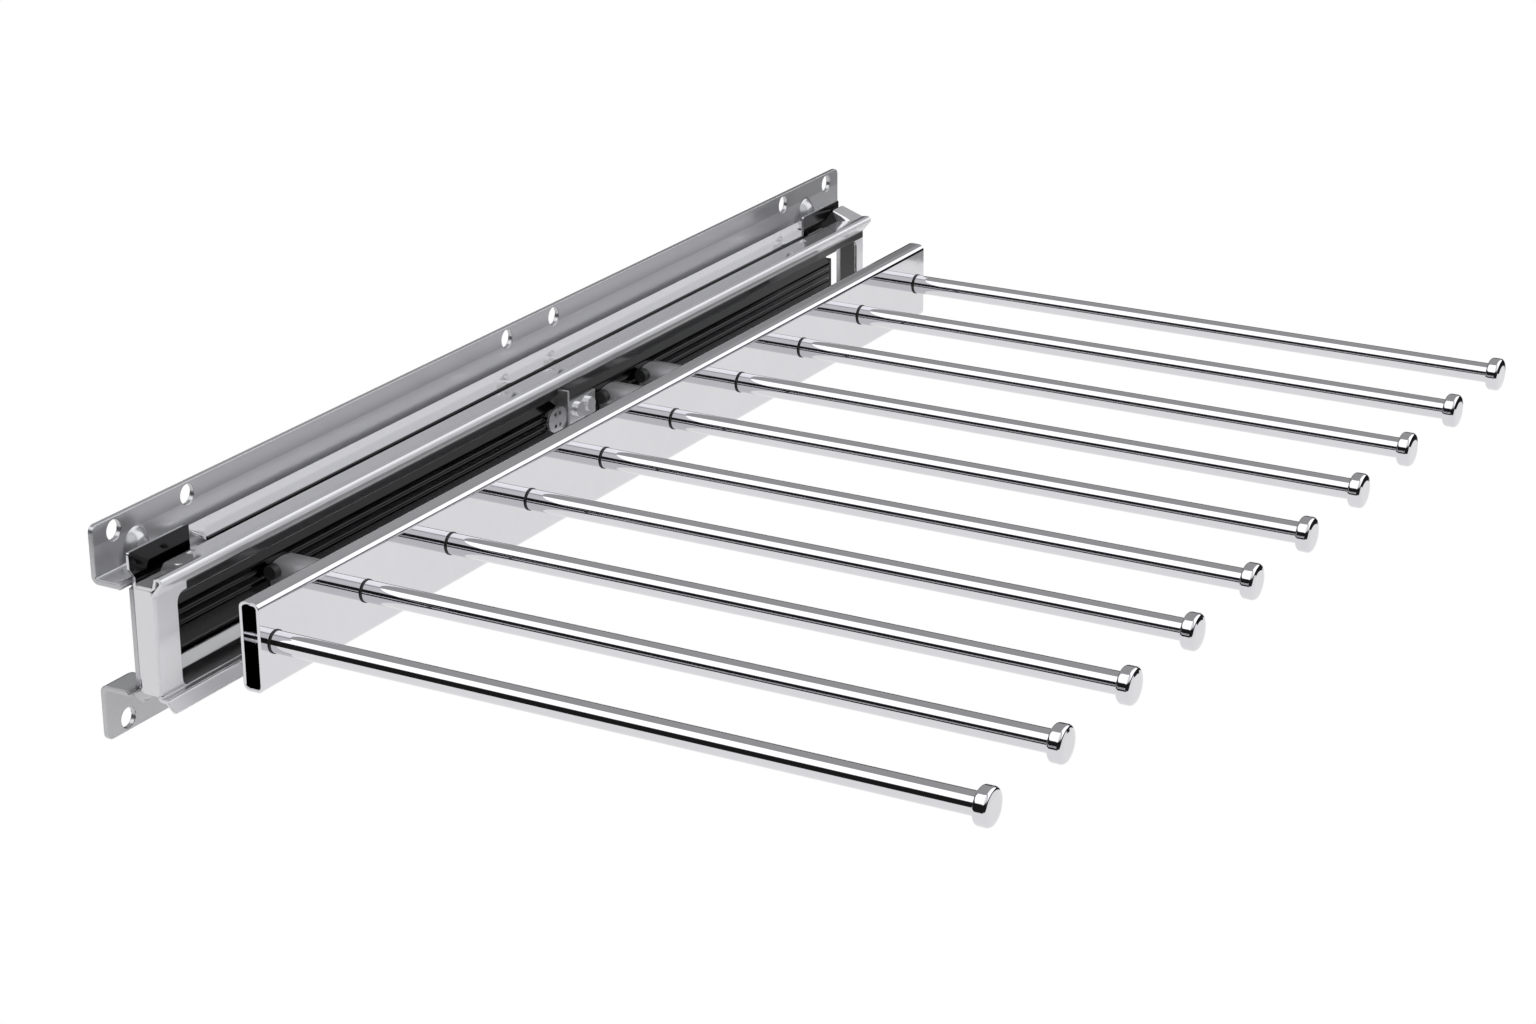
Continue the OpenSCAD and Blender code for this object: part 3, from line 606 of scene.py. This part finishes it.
# Sheet of one thickness over a flat pattern, with rounded rims; place() sets a pattern point in space
def sheet(name, place, outline, thickness, look, node_name, holes=(), lines=(), points=(),
          rim=0.2, flush=None):
    flat, tris = fill_pattern(outline, holes, lines, points)
    border = open_edges(tris)
    out_of = {}
    for a, b in border:
        d = (flat[b] - flat[a]).normalized()
        for i in (a, b):
            out_of.setdefault(i, []).append(Vector((d.y, -d.x)))
    spatial = []
    normals = []
    faces = []

    def normal_at(q):
        ds = place(q.x + STEP, q.y) - place(q.x - STEP, q.y)
        dy = place(q.x, q.y + STEP) - place(q.x, q.y - STEP)
        return ds.cross(dy).normalized()

    def add_point(p, n):
        spatial.append(p)
        normals.append(n)
        return len(spatial) - 1

    half = thickness / 2.0
    rings = {}
    front = {}
    back = {}
    for i in sorted(set(i for tri in tris for i in tri)):
        q = flat[i]
        if i not in out_of:
            n = normal_at(q)
            p = place(q.x, q.y)
            front[i] = add_point(p + n * half, n)
            back[i] = add_point(p - n * half, -n)
            continue
        m = sum(out_of[i], Vector((0.0, 0.0))).normalized()
        stretch = min(1.0 / max(m.dot(out_of[i][0]), MITRE_LEAST), MITRE_MOST)
        r = FLUSH_RIM if flush and flush(q) else rim
        q_in = q - m * r * stretch
        n = normal_at(q_in)
        p = place(q_in.x, q_in.y)
        outward = place(q_in.x + m.x * STEP, q_in.y + m.y * STEP)
        outward -= place(q_in.x - m.x * STEP, q_in.y - m.y * STEP)
        outward = (outward - n * outward.dot(n)).normalized()
        ring = []
        for sign in (1.0, -1.0):
            for k in range(RIM_STEPS + 1):
                t = math.pi / 2 * (1 - k / RIM_STEPS) if sign > 0 else -math.pi / 2 * k / RIM_STEPS
                ring.append(add_point(
                    p + n * ((half - r) * sign + r * math.sin(t)) + outward * r * stretch * math.cos(t),
                    n * math.sin(t) + outward * math.cos(t)))
        rings[i] = ring
        front[i] = ring[0]
        back[i] = ring[-1]
    for tri in tris:
        faces.append([front[i] for i in tri])
        faces.append([back[i] for i in reversed(tri)])
    for a, b in border:
        for k in range(2 * RIM_STEPS + 1):
            faces.append([rings[b][k], rings[a][k], rings[a][k + 1], rings[b][k + 1]])
    make_object(name, spatial, normals, faces, look, node_name)


# Pattern point to space, for a sheet whose section is a Bent line of (x, z)
def along(line):
    def place(s, y):
        p = line.at(s)
        return Vector((p.x, y, p.y))
    return place


# Solid turned around an axis along X; the profile is a Bent line of (x, radius)
def turned(name, profile, y, z, look, node_name, steps, bend_steps=6):
    spots = profile.marks(bend_steps)
    points, normals, faces = [], [], []
    for s in spots:
        p = profile.at(s)
        d = profile.at(min(s + STEP, profile.length)) - profile.at(max(s - STEP, 0.0))
        n = Vector((-d.y, d.x)).normalized()
        for k in range(steps):
            t = 2 * math.pi * k / steps
            c, w = math.cos(t), math.sin(t)
            points.append(Vector((p.x, y + p.y * c, z + p.y * w)))
            normals.append(Vector((n.x, n.y * c, n.y * w)))
    for j in range(len(spots) - 1):
        for k in range(steps):
            a, b = j * steps + k, j * steps + (k + 1) % steps
            faces.append([a, b, b + steps, a + steps])
    make_object(name, points, normals, faces, look, node_name)


# Wall bracket, with sizes that it shares with the solids
BRACKET_LOW, BRACKET_HIGH = extent("wall_bracket")
BRACKET_T = 2.0
BRACKET_BEND = 1.8          # bend radius on the middle of the sheet
BRACKET_RIM = 0.35
STEP_HALF = 19.6            # half height of the raised middle
WEB_SETBACK = 4.5           # the web starts this far behind the flanges' front ends
EAR_OVER, EAR_SIDE, EAR_R = 4.5, 1.0, 1.0   # the flanges reach this far past the web at the rear
# Screw holes: radius, distance from the long edge and from the end
HOLE_R, HOLE_EDGE, HOLE_INSET, HOLE_STEPS = 3.5, 4.5, 10.5, 40
END_PITCH, MID_PITCH, MID_SHIFT = 37.5, 32.0, 6.0
# See-through opening beside the rear end of the slide: length, half height, web left behind it
SIGHT_LEN, SIGHT_HALF, SIGHT_EDGE, SIGHT_R = 20.5, 12.0, 14.2, 0.6
CORNER_R = 2.5
RELIEF = 1.3                # notch beside the web at the front
RELIEF_R, RELIEF_INNER_R, WEB_R = 0.6, 0.5, 0.3
DART_FRONT_INSET, DART_REAR_INSET = 20.4, 29.25
DART_REACH, DART_HALF, DART_RISE = 12.5, 7.6, 5.2
DART_FLATNESS = 1.6         # power that widens the top of a dart
DART_GRID, DART_COUNT, DART_BARE = (0.9, 0.8), (15, 11), 2
DART_CROSS = 3.0            # half length of the lines over a dart's fold
front_y, rear_y = BRACKET_LOW.y, BRACKET_HIGH.y
web_front_y = front_y + WEB_SETBACK
step_x = BRACKET_HIGH.x
sight_y0 = rear_y - EAR_OVER - SIGHT_EDGE - SIGHT_LEN
sight_y1 = sight_y0 + SIGHT_LEN


# Hat-shaped sheet with screw holes, pressed darts and cut-back ends
def make_wall_bracket():
    half = BRACKET_T / 2
    top = BRACKET_HIGH.z
    corners = [(half, top), (half, STEP_HALF - half), (step_x - half, STEP_HALF - half),
               (step_x - half, half - STEP_HALF), (half, half - STEP_HALF), (half, -top)]
    line = Bent(corners, BRACKET_BEND)
    end = line.length
    folds = [sum(line.bends[0]) / 2, sum(line.bends[3]) / 2]
    web0, web1 = line.bends[1][1], line.bends[2][0]
    darts = [(s, y) for s in folds for y in (front_y + DART_FRONT_INSET, rear_y - DART_REAR_INSET)]

    def place(s, y):
        p = line.at(s)
        rise = 0.0
        for ds, dy in darts:
            across = math.hypot((s - ds) / DART_REACH, (y - dy) / DART_HALF)
            rise = max(rise, DART_RISE * swell(across ** DART_FLATNESS))
        tilt = rise * math.sqrt(0.5)
        return Vector((p.x + tilt, y, p.y + math.copysign(tilt, p.y)))

    ear0 = line.bends[0][0] - EAR_SIDE
    ear1 = line.bends[3][1] + EAR_SIDE
    relief_y = web_front_y + RELIEF
    ear_y = rear_y - EAR_OVER
    outline = rounded([
        (0.0, front_y, CORNER_R), (web0 - RELIEF, front_y, RELIEF_R),
        (web0 - RELIEF, relief_y, RELIEF_R), (web0, relief_y, RELIEF_INNER_R),
        (web0, web_front_y, WEB_R), (web1, web_front_y, WEB_R),
        (web1, relief_y, RELIEF_INNER_R), (web1 + RELIEF, relief_y, RELIEF_R),
        (web1 + RELIEF, front_y, RELIEF_R), (end, front_y, CORNER_R),
        (end, rear_y, CORNER_R), (ear1, rear_y, EAR_R), (ear1, ear_y, EAR_R),
        (ear0, ear_y, EAR_R), (ear0, rear_y, EAR_R), (0.0, rear_y, CORNER_R)])
    hole_y = [front_y + HOLE_INSET, front_y + HOLE_INSET + END_PITCH, MID_SHIFT - MID_PITCH / 2,
              MID_SHIFT + MID_PITCH / 2, rear_y - HOLE_INSET - END_PITCH, rear_y - HOLE_INSET]
    holes = [circle(s, y, HOLE_R, HOLE_STEPS) for s in (HOLE_EDGE, end - HOLE_EDGE) for y in hole_y]
    holes.append(box_loop(end / 2 - SIGHT_HALF, end / 2 + SIGHT_HALF, sight_y0, sight_y1, SIGHT_R))
    grid = []
    cross = []
    for ds, dy in darts:
        grid += grid_around(ds, dy, DART_GRID, DART_COUNT, (DART_BARE, DART_COUNT[1]))
        for j in range(-DART_COUNT[1], DART_COUNT[1] + 1):
            y = dy + j * DART_GRID[1]
            cross.append(((ds - DART_CROSS, y), (ds + DART_CROSS, y)))
    sheet("pressed_wall_bracket", place, outline, BRACKET_T, satin_sheet, "wall_bracket", holes,
          long_lines(line.marks(), front_y, rear_y) + cross, grid, rim=BRACKET_RIM)


make_wall_bracket()

# Back plate
BACK_T = 1.2
BACK_LOW, BACK_HIGH = extent("back_plate")
TAB_LEN, TAB_LEAD = 30.6, 2.5
TAB_R, TAB_FOOT_R, PLATE_R = 0.8, 1.5, 0.5
LIP_SHORT, LIP_GAP = 16.0, 9.4
LIP_SLOPE, LIP_CORNER = 1.6, 1.2
LIP_HOLE_R, LIP_HOLE_EDGE, LIP_HOLE_INSET, LIP_HOLE_STEPS = 1.25, 5.2, 9.3, 24
# Shallow round marks along the lip: place along Y, distance from the wall, height
LIP_MARKS = [(-204.8, 9.3, 0.35), (-27.7, 12.4, 0.3), (4.2, 12.4, 0.3), (179.2, 12.4, 0.3)]
MARK_R, MARK_GRID, MARK_COUNT = 3.2, 0.7, 5
MARK_FREE_NEAR, MARK_FREE_FAR = 0.5, 0.4
TOUCH = 0.01                # places closer than this are on the same edge
BACK_TOP = 22.0             # where the lip folds back
back_x = step_x + BACK_T
tab_front = web_front_y - TAB_LEAD
lip0 = tab_front + TAB_LEN + LIP_GAP
lip1 = BACK_HIGH.y - LIP_SHORT


# Flat sheet with an upright tab at each end
def make_back_sheet():
    half = BACK_T / 2
    low, high = BACK_LOW.z, BACK_HIGH.z
    plate_front, plate_rear = web_front_y, BACK_HIGH.y
    rear_tab = plate_rear - BACK_T
    drop = high - (BACK_TOP - BACK_T)

    def flat(s, y):
        return Vector((back_x - half, y, high - s))

    outline = rounded([
        (0.0, tab_front, TAB_R), (high - BACK_TOP - TAB_LEAD, tab_front, TAB_FOOT_R),
        (high - BACK_TOP + BACK_T, plate_front, TAB_FOOT_R), (high - low, plate_front, PLATE_R),
        (high - low, plate_rear, PLATE_R), (drop, plate_rear, PLATE_R), (drop, rear_tab, PLATE_R),
        (0.0, rear_tab, TAB_R), (0.0, rear_tab - TAB_LEN, TAB_R),
        (drop, rear_tab - TAB_LEN, PLATE_R), (drop, tab_front + TAB_LEN, PLATE_R),
        (0.0, tab_front + TAB_LEN, TAB_R)])
    sight = box_loop(high - SIGHT_HALF, high + SIGHT_HALF, sight_y0, sight_y1, SIGHT_R)

    def seam(q):
        return abs(q.x - drop) < TOUCH and lip0 - OVER < q.y < lip1 + OVER

    sheet("flat_back_plate", flat, outline, BACK_T, painted_shade_sheet, "back_plate", [sight], flush=seam)


# Lip folded back over the bracket
def make_back_lip():
    lip_z = BACK_TOP - BACK_T / 2
    line = Bent([(back_x, lip_z), (BACK_LOW.x, lip_z + LIP_SLOPE)], [])
    end = line.length

    def lip(s, y):
        p = line.at(s)
        lift = 0.0
        for my, mx, rise in LIP_MARKS:
            lift += rise * swell(math.hypot(y - my, p.x - mx) / MARK_R)
        return Vector((p.x, y, p.y + lift))

    hole = circle(end - LIP_HOLE_EDGE, lip1 - LIP_HOLE_INSET, LIP_HOLE_R, LIP_HOLE_STEPS)
    grid = []
    for my, mx, _ in LIP_MARKS:
        points = grid_around(back_x - mx, my, (MARK_GRID, MARK_GRID), (MARK_COUNT, MARK_COUNT))
        grid += [p for p in points if MARK_FREE_NEAR < p[0] < end - MARK_FREE_FAR]
    outline = rounded([(0.0, lip0, 0.0), (end, lip0, LIP_CORNER), (end, lip1, LIP_CORNER),
                       (0.0, lip1, 0.0)])
    sheet("folded_lip", lip, outline, BACK_T, lip_sheet, "back_plate", [hole], (), grid)


make_back_sheet()
make_back_lip()

# Rails of the slide
RAIL_T, SLIM_T = 1.2, 1.0
RAIL_RISE = 3.2             # height of the slide's middle
RAIL_LIP = 5.8              # front lips of the outer rail
RAIL_RIM = 0.25
FOLD_R = 0.3
RAIL_BEND_STEPS = 5
CROWN_HALF, CROWN_SETBACK, CROWN_R = 7.0, 2.5, 1.4
GROOVE_RISES = (4.3, 0.4)
GROOVE_HALF, GROOVE_DEEP, GROOVE_KNEE = 1.1, 0.45, 1.0
GROOVE_STEP, GROOVE_COUNT = 0.22, 5


# Rail of one section along the whole length of its node
def rail(name, node_name, line, place, thickness, look, fine=(), rim=0.2):
    low, high = extent(node_name)
    sheet(name, place, box_loop(0.0, line.length, low.y, high.y), thickness, look, node_name, (),
          long_lines(line.marks(RAIL_BEND_STEPS)[1:-1] + list(fine), low.y, high.y), rim=rim)


# Deep channel with two front lips
def make_outer_rail():
    low, high = extent("outer_rail")
    half = RAIL_T / 2
    line = Bent([(high.x - half, low.z + RAIL_LIP), (high.x - half, low.z + half),
                 (low.x + half, low.z + half), (low.x + half, high.z - half),
                 (high.x - half, high.z - half), (high.x - half, high.z - RAIL_LIP)], FOLD_R + half)
    rail("outer_channel", "outer_rail", line, along(line), RAIL_T, outer_rail_painted_shade, rim=RAIL_RIM)


def make_middle_rail():
    low, high = extent("middle_rail")
    half = SLIM_T / 2
    line = Bent([(high.x, low.z + half), (low.x + half, low.z + half), (low.x + half, high.z - half),
                 (high.x, high.z - half)], FOLD_R + half)
    rail("middle_channel", "middle_rail", line, along(line), SLIM_T, rail_steel)


# Raised front with two soft grooves along it
def make_inner_rail():
    low, high = extent("inner_rail")
    half = SLIM_T / 2
    knee = high.x - CROWN_SETBACK
    line = Bent([(low.x, low.z + half), (knee, low.z + half), (high.x - half, RAIL_RISE - CROWN_HALF),
                 (high.x - half, RAIL_RISE + CROWN_HALF), (knee, high.z - half),
                 (low.x, high.z - half)], [FOLD_R + half, CROWN_R, CROWN_R, FOLD_R + half])
    groove_z = [RAIL_RISE + rise for rise in GROOVE_RISES]

    def place(s, y):
        p = line.at(s)
        x = p.x
        if p.x > knee + GROOVE_KNEE:
            x -= sum(GROOVE_DEEP * swell((p.y - z) / GROOVE_HALF) for z in groove_z)
        return Vector((x, y, p.y))

    fine = [line.length / 2 - RAIL_RISE + z + i * GROOVE_STEP
            for z in groove_z for i in range(-GROOVE_COUNT, GROOVE_COUNT + 1)]
    rail("inner_slide", "inner_rail", line, place, SLIM_T, rail_steel, fine)


make_outer_rail()
make_middle_rail()
make_inner_rail()

# Carriage frame
FRAME_T = 1.2
FRAME_LOW, FRAME_HIGH = extent("carriage_frame")
FRAME_BEND = 1.1
FRAME_RIM = 0.25
FRAME_FRONT_R, FRAME_REAR_R = 1.5, 1.0
PLATE_DEPTH = 10.4          # from the frame's edge on the wall side to the front of the plate
PLATE_TOP, PLATE_BOTTOM = 17.8, 18.8
STRIP_Z, STRIP_DEPTH = 23.0, 8.2
STRIP_CHANGE = 2.2          # length along which the strip changes its height
STRIP_LINES = 8
RIDGE_OUT, RIDGE_RISE = 5.5, 1.9
FLARE_OUT, FLARE_DOWN = 5.6, 2.9
TROUGH_LEN, TROUGH_DROP, TROUGH_BACK, TROUGH_LEAN = 13.5, 2.3, 0.4, 0.4
TROUGH_INSET, TROUGH_R = 0.4, 0.7
COVER_LEN, COVER_RISE, COVER_FOOT, COVER_R = 8.0, 4.6, 1.5, 2.0
WINDOW_TOP, WINDOW_LOW, WINDOW_R = 15.0, -18.0, 3.5
FRONT_POST, REAR_POST = 11.7, 5.5
LUG_PLACES = (-222.0, -41.5, -10.0, 184.4)
LUG_IN = 2.6                # from the strip's edge on the wall side
LUG_RISE, LUG_HALF_LEN, LUG_HALF_DEPTH = 0.45, 3.4, 2.2
LUG_GRID, LUG_COUNT, LUG_BARE = (0.55, 0.6), (4, 6), (1, 2)
SLOT_HALF, SLOT_FRONT, SLOT_REAR, SLOT_R = 0.7, 1.4, 1.0, 0.3
END_WALL, END_WRAP = 6.2, 2.2
END_LOW_RISE = 1.5 * FRAME_T
END_HIGH_RISE, END_STEP_DROP, END_STEP = 1.9, 0.4, 2.2
END_LOW_R, END_HIGH_R = 1.2, 0.4
FRAME_CORNER = 1.6
HEM, HEM_OVER, HEM_R = 9.2, 0.2, 0.8
plate_x1 = FRAME_LOW.x + PLATE_DEPTH
plate_x0 = plate_x1 - FRAME_T
frame_y0, frame_y1 = FRAME_LOW.y, FRAME_HIGH.y
window_y0, window_y1 = frame_y0 + FRONT_POST, frame_y1 - REAR_POST
wall_end = frame_y0 + END_WRAP


# Top strip with a lowered front and a raised rear cover, ridge, window and flare
def make_frame_cover():
    half = FRAME_T / 2
    mid = plate_x0 + half
    strip_x1 = plate_x1 + half
    strip_x0 = strip_x1 - STRIP_DEPTH
    ridge_x = plate_x1 + RIDGE_OUT - half
    joint_x = strip_x1 + TROUGH_LEAN

    def strip_mid(x):
        return STRIP_Z - half + RIDGE_RISE * (x - strip_x0) / (ridge_x - strip_x0)

    start = Vector((strip_x0, strip_mid(strip_x0)))
    joint = Vector((joint_x, strip_mid(joint_x)))
    joint_s = (joint - start).length
    main = Bent([start, (ridge_x, strip_mid(ridge_x)), (mid, PLATE_TOP), (mid, half - PLATE_BOTTOM),
                 (mid + FLARE_OUT / 2, half - PLATE_BOTTOM),
                 (plate_x1 + FLARE_OUT, -PLATE_BOTTOM - FLARE_DOWN)], FRAME_BEND)
    floor_z = STRIP_Z - TROUGH_DROP - half
    foot_x = joint_x - COVER_FOOT
    trough = Bent([(strip_x0 - TROUGH_BACK, floor_z), (strip_x1 - TROUGH_INSET, floor_z), joint],
                  TROUGH_R)
    cover = Bent([(FRAME_LOW.x, STRIP_Z - half + COVER_RISE), (foot_x, strip_mid(foot_x)), joint],
                 COVER_R)
    rise = STRIP_CHANGE
    step_y = frame_y0 + TROUGH_LEN
    cover_y = frame_y1 - COVER_LEN

    def place(s, y):
        p = main.at(s)
        if s < joint_s:
            share = s / joint_s
            low = trough.at(share * trough.length)
            high = cover.at(share * cover.length)
            p = low.lerp(p, smooth_step((y - step_y) / rise))
            p = p.lerp(high, smooth_step((y - cover_y + rise / 2) / (rise / 2)))
            for lug_y in LUG_PLACES:
                away = math.hypot((y - lug_y) / LUG_HALF_LEN, (s - LUG_IN) / LUG_HALF_DEPTH)
                p = p + Vector((0.0, LUG_RISE * swell(away)))
        return Vector((p.x, y, p.y))

    end = main.length
    plate0, plate1 = main.bends[1][1], main.bends[2][0]
    outline = rounded([
        (0.0, frame_y0, FRAME_FRONT_R), (plate0, frame_y0, 0.0), (plate0, wall_end, 0.0),
        (plate1, wall_end, 0.0), (plate1, frame_y0, 0.0), (end, frame_y0, FRAME_FRONT_R),
        (end, frame_y1, FRAME_REAR_R), (0.0, frame_y1, FRAME_REAR_R)])
    window_s = plate0 + (main.at(plate0).y - WINDOW_TOP)
    holes = [box_loop(window_s, window_s + WINDOW_TOP - WINDOW_LOW, window_y0, window_y1, WINDOW_R)]
    lines = long_lines(main.marks()[1:-1] + [joint_s], frame_y0, frame_y1)
    for s in [joint_s * i / STRIP_LINES for i in range(1, STRIP_LINES)]:
        lines.append(((s, frame_y0 - OVER), (s, step_y + rise)))
        lines.append(((s, cover_y - rise), (s, frame_y1 + OVER)))
    for i in range(STRIP_LINES + 1):
        for y in (step_y + rise * i / STRIP_LINES, cover_y - rise / 2 + rise / 2 * i / STRIP_LINES):
            lines.append(((-OVER, y), (joint_s, y)))
    grid = []
    for y in LUG_PLACES:
        holes.append(box_loop(LUG_IN - SLOT_HALF, LUG_IN + SLOT_HALF, y - SLOT_FRONT, y + SLOT_REAR,
                              SLOT_R))
        grid += grid_around(LUG_IN, y, LUG_GRID, LUG_COUNT, LUG_BARE)
    sheet("frame_cover", place, outline, FRAME_T, frame_sheet, "carriage_frame", holes, lines, grid,
          rim=FRAME_RIM,
          flush=lambda q: plate0 - TOUCH < q.x < plate1 + TOUCH and q.y < wall_end + TOUCH)


# End wall folded round the upright front edge
def make_frame_end_wall():
    half = FRAME_T / 2
    mid = plate_x0 + half
    wall = Bent([(plate_x0 - END_WALL, frame_y0 + half), (mid, frame_y0 + half), (mid, wall_end)],
                FRAME_CORNER - half)
    low, high = -PLATE_BOTTOM + END_LOW_RISE, PLATE_TOP + END_HIGH_RISE
    end = wall.length

    def fold(s, z):
        p = wall.at(s)
        return Vector((p.x, p.y, z))

    outline = rounded([
        (0.0, low, END_LOW_R), (end, low, 0.0), (end, PLATE_TOP - END_STEP_DROP, 0.0),
        (end - END_STEP, high, 0.0), (0.0, high, END_HIGH_R)])
    sheet("frame_end_wall", fold, outline, FRAME_T, frame_sheet, "carriage_frame", (),
          long_lines(wall.marks()[1:-1], low, high), flush=lambda q: q.x > end - TOUCH)


# Hem folded inwards along the window
def make_frame_hem():
    hem_z = WINDOW_LOW - FRAME_T / 2
    sheet("frame_hem", lambda s, y: Vector((plate_x0 - HEM + s, y, hem_z)),
          box_loop(0.0, HEM + HEM_OVER, window_y0, window_y1, HEM_R), FRAME_T, frame_sheet,
          "carriage_frame")


make_frame_cover()
make_frame_end_wall()
make_frame_hem()

# Bar, its arms, rings and caps
BAR_LOW, BAR_HIGH = extent("arm_bar")
BAR_WALL, BAR_R, BAR_RIM, BAR_BEND_STEPS = 1.2, 2.4, 0.25, 9
ARM_COUNT = 10
ARM_R, ARM_EDGE, ARM_STEPS = 3.8, 0.25, 96
SPIGOT_R, SPIGOT_CLEAR, SPIGOT_ROOT, SPIGOT_STEPS = 2.5, 0.05, 0.1, 24
RING_T, RING_IN, RING_OUT, RING_EDGE, RING_STEPS = 0.5, 0.9, 0.3, 0.2, 64
CAP_R, CAP_LEN, CAP_CLEAR = 6.3, 5.0, 0.04
CAP_BORE = 0.6 * CAP_LEN
CAP_DOME, CAP_DOME_IN = 0.5, 2.4
CAP_BENDS, CAP_BEND_STEPS = [0.1, 0.15, 1.2, 1.3, 4.0], 8


def make_bar():
    half = BAR_WALL / 2
    seam_x = BAR_LOW.x + half + (BAR_HIGH.x - BAR_LOW.x) / 4
    x0, x1, z1 = BAR_LOW.x + half, BAR_HIGH.x - half, BAR_HIGH.z - half
    line = Bent([(seam_x, z1), (x1, z1), (x1, -z1), (x0, -z1), (x0, z1), (seam_x, z1)], BAR_R - half)
    end = line.length
    middle_front = (line.bends[0][1] + line.bends[1][0]) / 2
    holes = []
    for number in range(1, ARM_COUNT + 1):
        low, _ = extent("arm_%d" % number)
        holes.append(circle(middle_front, low.y + ARM_R, SPIGOT_R + SPIGOT_CLEAR, SPIGOT_STEPS))

    def place(s, y):
        p = line.at(s % end if s > end else max(s, 0.0))
        return Vector((p.x, y, p.y))

    sheet("bar_tube", place, box_loop(0.0, end, BAR_LOW.y, BAR_HIGH.y), BAR_WALL, chrome, "arm_bar",
          holes, long_lines(line.marks(BAR_BEND_STEPS)[1:-1], BAR_LOW.y, BAR_HIGH.y), rim=BAR_RIM,
          flush=lambda q: q.x < TOUCH or q.x > end - TOUCH)


def make_arm(number):
    low, high = extent("arm_%d" % number)
    y = (low.y + high.y) / 2
    z = (low.z + high.z) / 2
    root = BAR_HIGH.x
    profile = Bent([(low.x, 0.0), (low.x, SPIGOT_R), (root + RING_T, SPIGOT_R), (root + RING_T, ARM_R),
                    (high.x, ARM_R), (high.x, 0.0)], [ARM_EDGE, SPIGOT_ROOT, ARM_EDGE, ARM_EDGE])
    turned("round_arm_%d" % number, profile, y, z, chrome, "arm_%d" % number, ARM_STEPS)
    inner, outer = ARM_R - RING_IN, ARM_R + RING_OUT
    ring = Bent([(root, inner), (root, outer), (root + RING_T, outer), (root + RING_T, inner)],
                RING_EDGE)
    turned("root_ring_%d" % number, ring, y, z, plastic, "arm_rings", RING_STEPS)
    cap_low, cap_high = extent("cap_%d" % number)
    x0, x1 = cap_low.x, cap_high.x
    bore_x, bore_r = x0 + CAP_BORE, ARM_R + CAP_CLEAR
    cap = Bent([(bore_x, 0.0), (bore_x, bore_r), (x0, bore_r), (x0, CAP_R), (x1 - CAP_DOME, CAP_R),
                (x1, CAP_R - CAP_DOME_IN), (x1, 0.0)], CAP_BENDS)
    turned("end_cap_%d" % number, cap, y, z, chrome, "cap_%d" % number, ARM_STEPS, CAP_BEND_STEPS)


make_bar()
for arm_number in range(1, ARM_COUNT + 1):
    make_arm(arm_number)

# Angles that carry the bar
SADDLE_T, SADDLE_RIM, SADDLE_CLEAR, SADDLE_BEND_STEPS = 1.4, 0.3, 0.01, 8
SADDLE_BENDS = [14.0, 3.4]
HUMP_SHIFT, HUMP_RISE, HUMP_REAR_DROP, HUMP_FRONT_DROP = 1.5, 0.05, 0.7, 0.5


# Humped top falling over a round edge into the front leg
def make_saddle(name):
    low, high = extent(name)
    half = SADDLE_T / 2
    top = high.z - half
    hump_y = (low.y + high.y) / 2 + HUMP_SHIFT
    line = Bent([(high.y, top - HUMP_REAR_DROP), (hump_y, top + HUMP_RISE),
                 (low.y + half, top - HUMP_FRONT_DROP), (low.y + half, low.z)], SADDLE_BENDS)

    def place(s, x):
        p = line.at(s)
        return Vector((x, p.x, p.y))

    sheet("carrier_" + name, place,
          box_loop(0.0, line.length, low.x + SADDLE_CLEAR, high.x - SADDLE_CLEAR), SADDLE_T, zinc,
          name, (), long_lines(line.marks(SADDLE_BEND_STEPS)[1:-1], low.x, high.x), rim=SADDLE_RIM)


for saddle_name in ("front_saddle", "middle_saddle", "rear_saddle"):
    make_saddle(saddle_name)

# Small pieces that show their solids
SOLID_LOOKS = {"rail_rivets": zinc, "rear_buffer": rubber, "outer_cages": plastic,
               "outer_balls": ball_steel, "inner_cages": plastic, "inner_balls": ball_steel,
               "saddle_pads": rubber, "centre_bracket": bright_zinc, "bracket_screws": bright_zinc}
for solid_name, solid_look in SOLID_LOOKS.items():
    solid = frame["nodes"][solid_name]
    solid.data.materials.clear()
    solid.data.materials.append(solid_look)
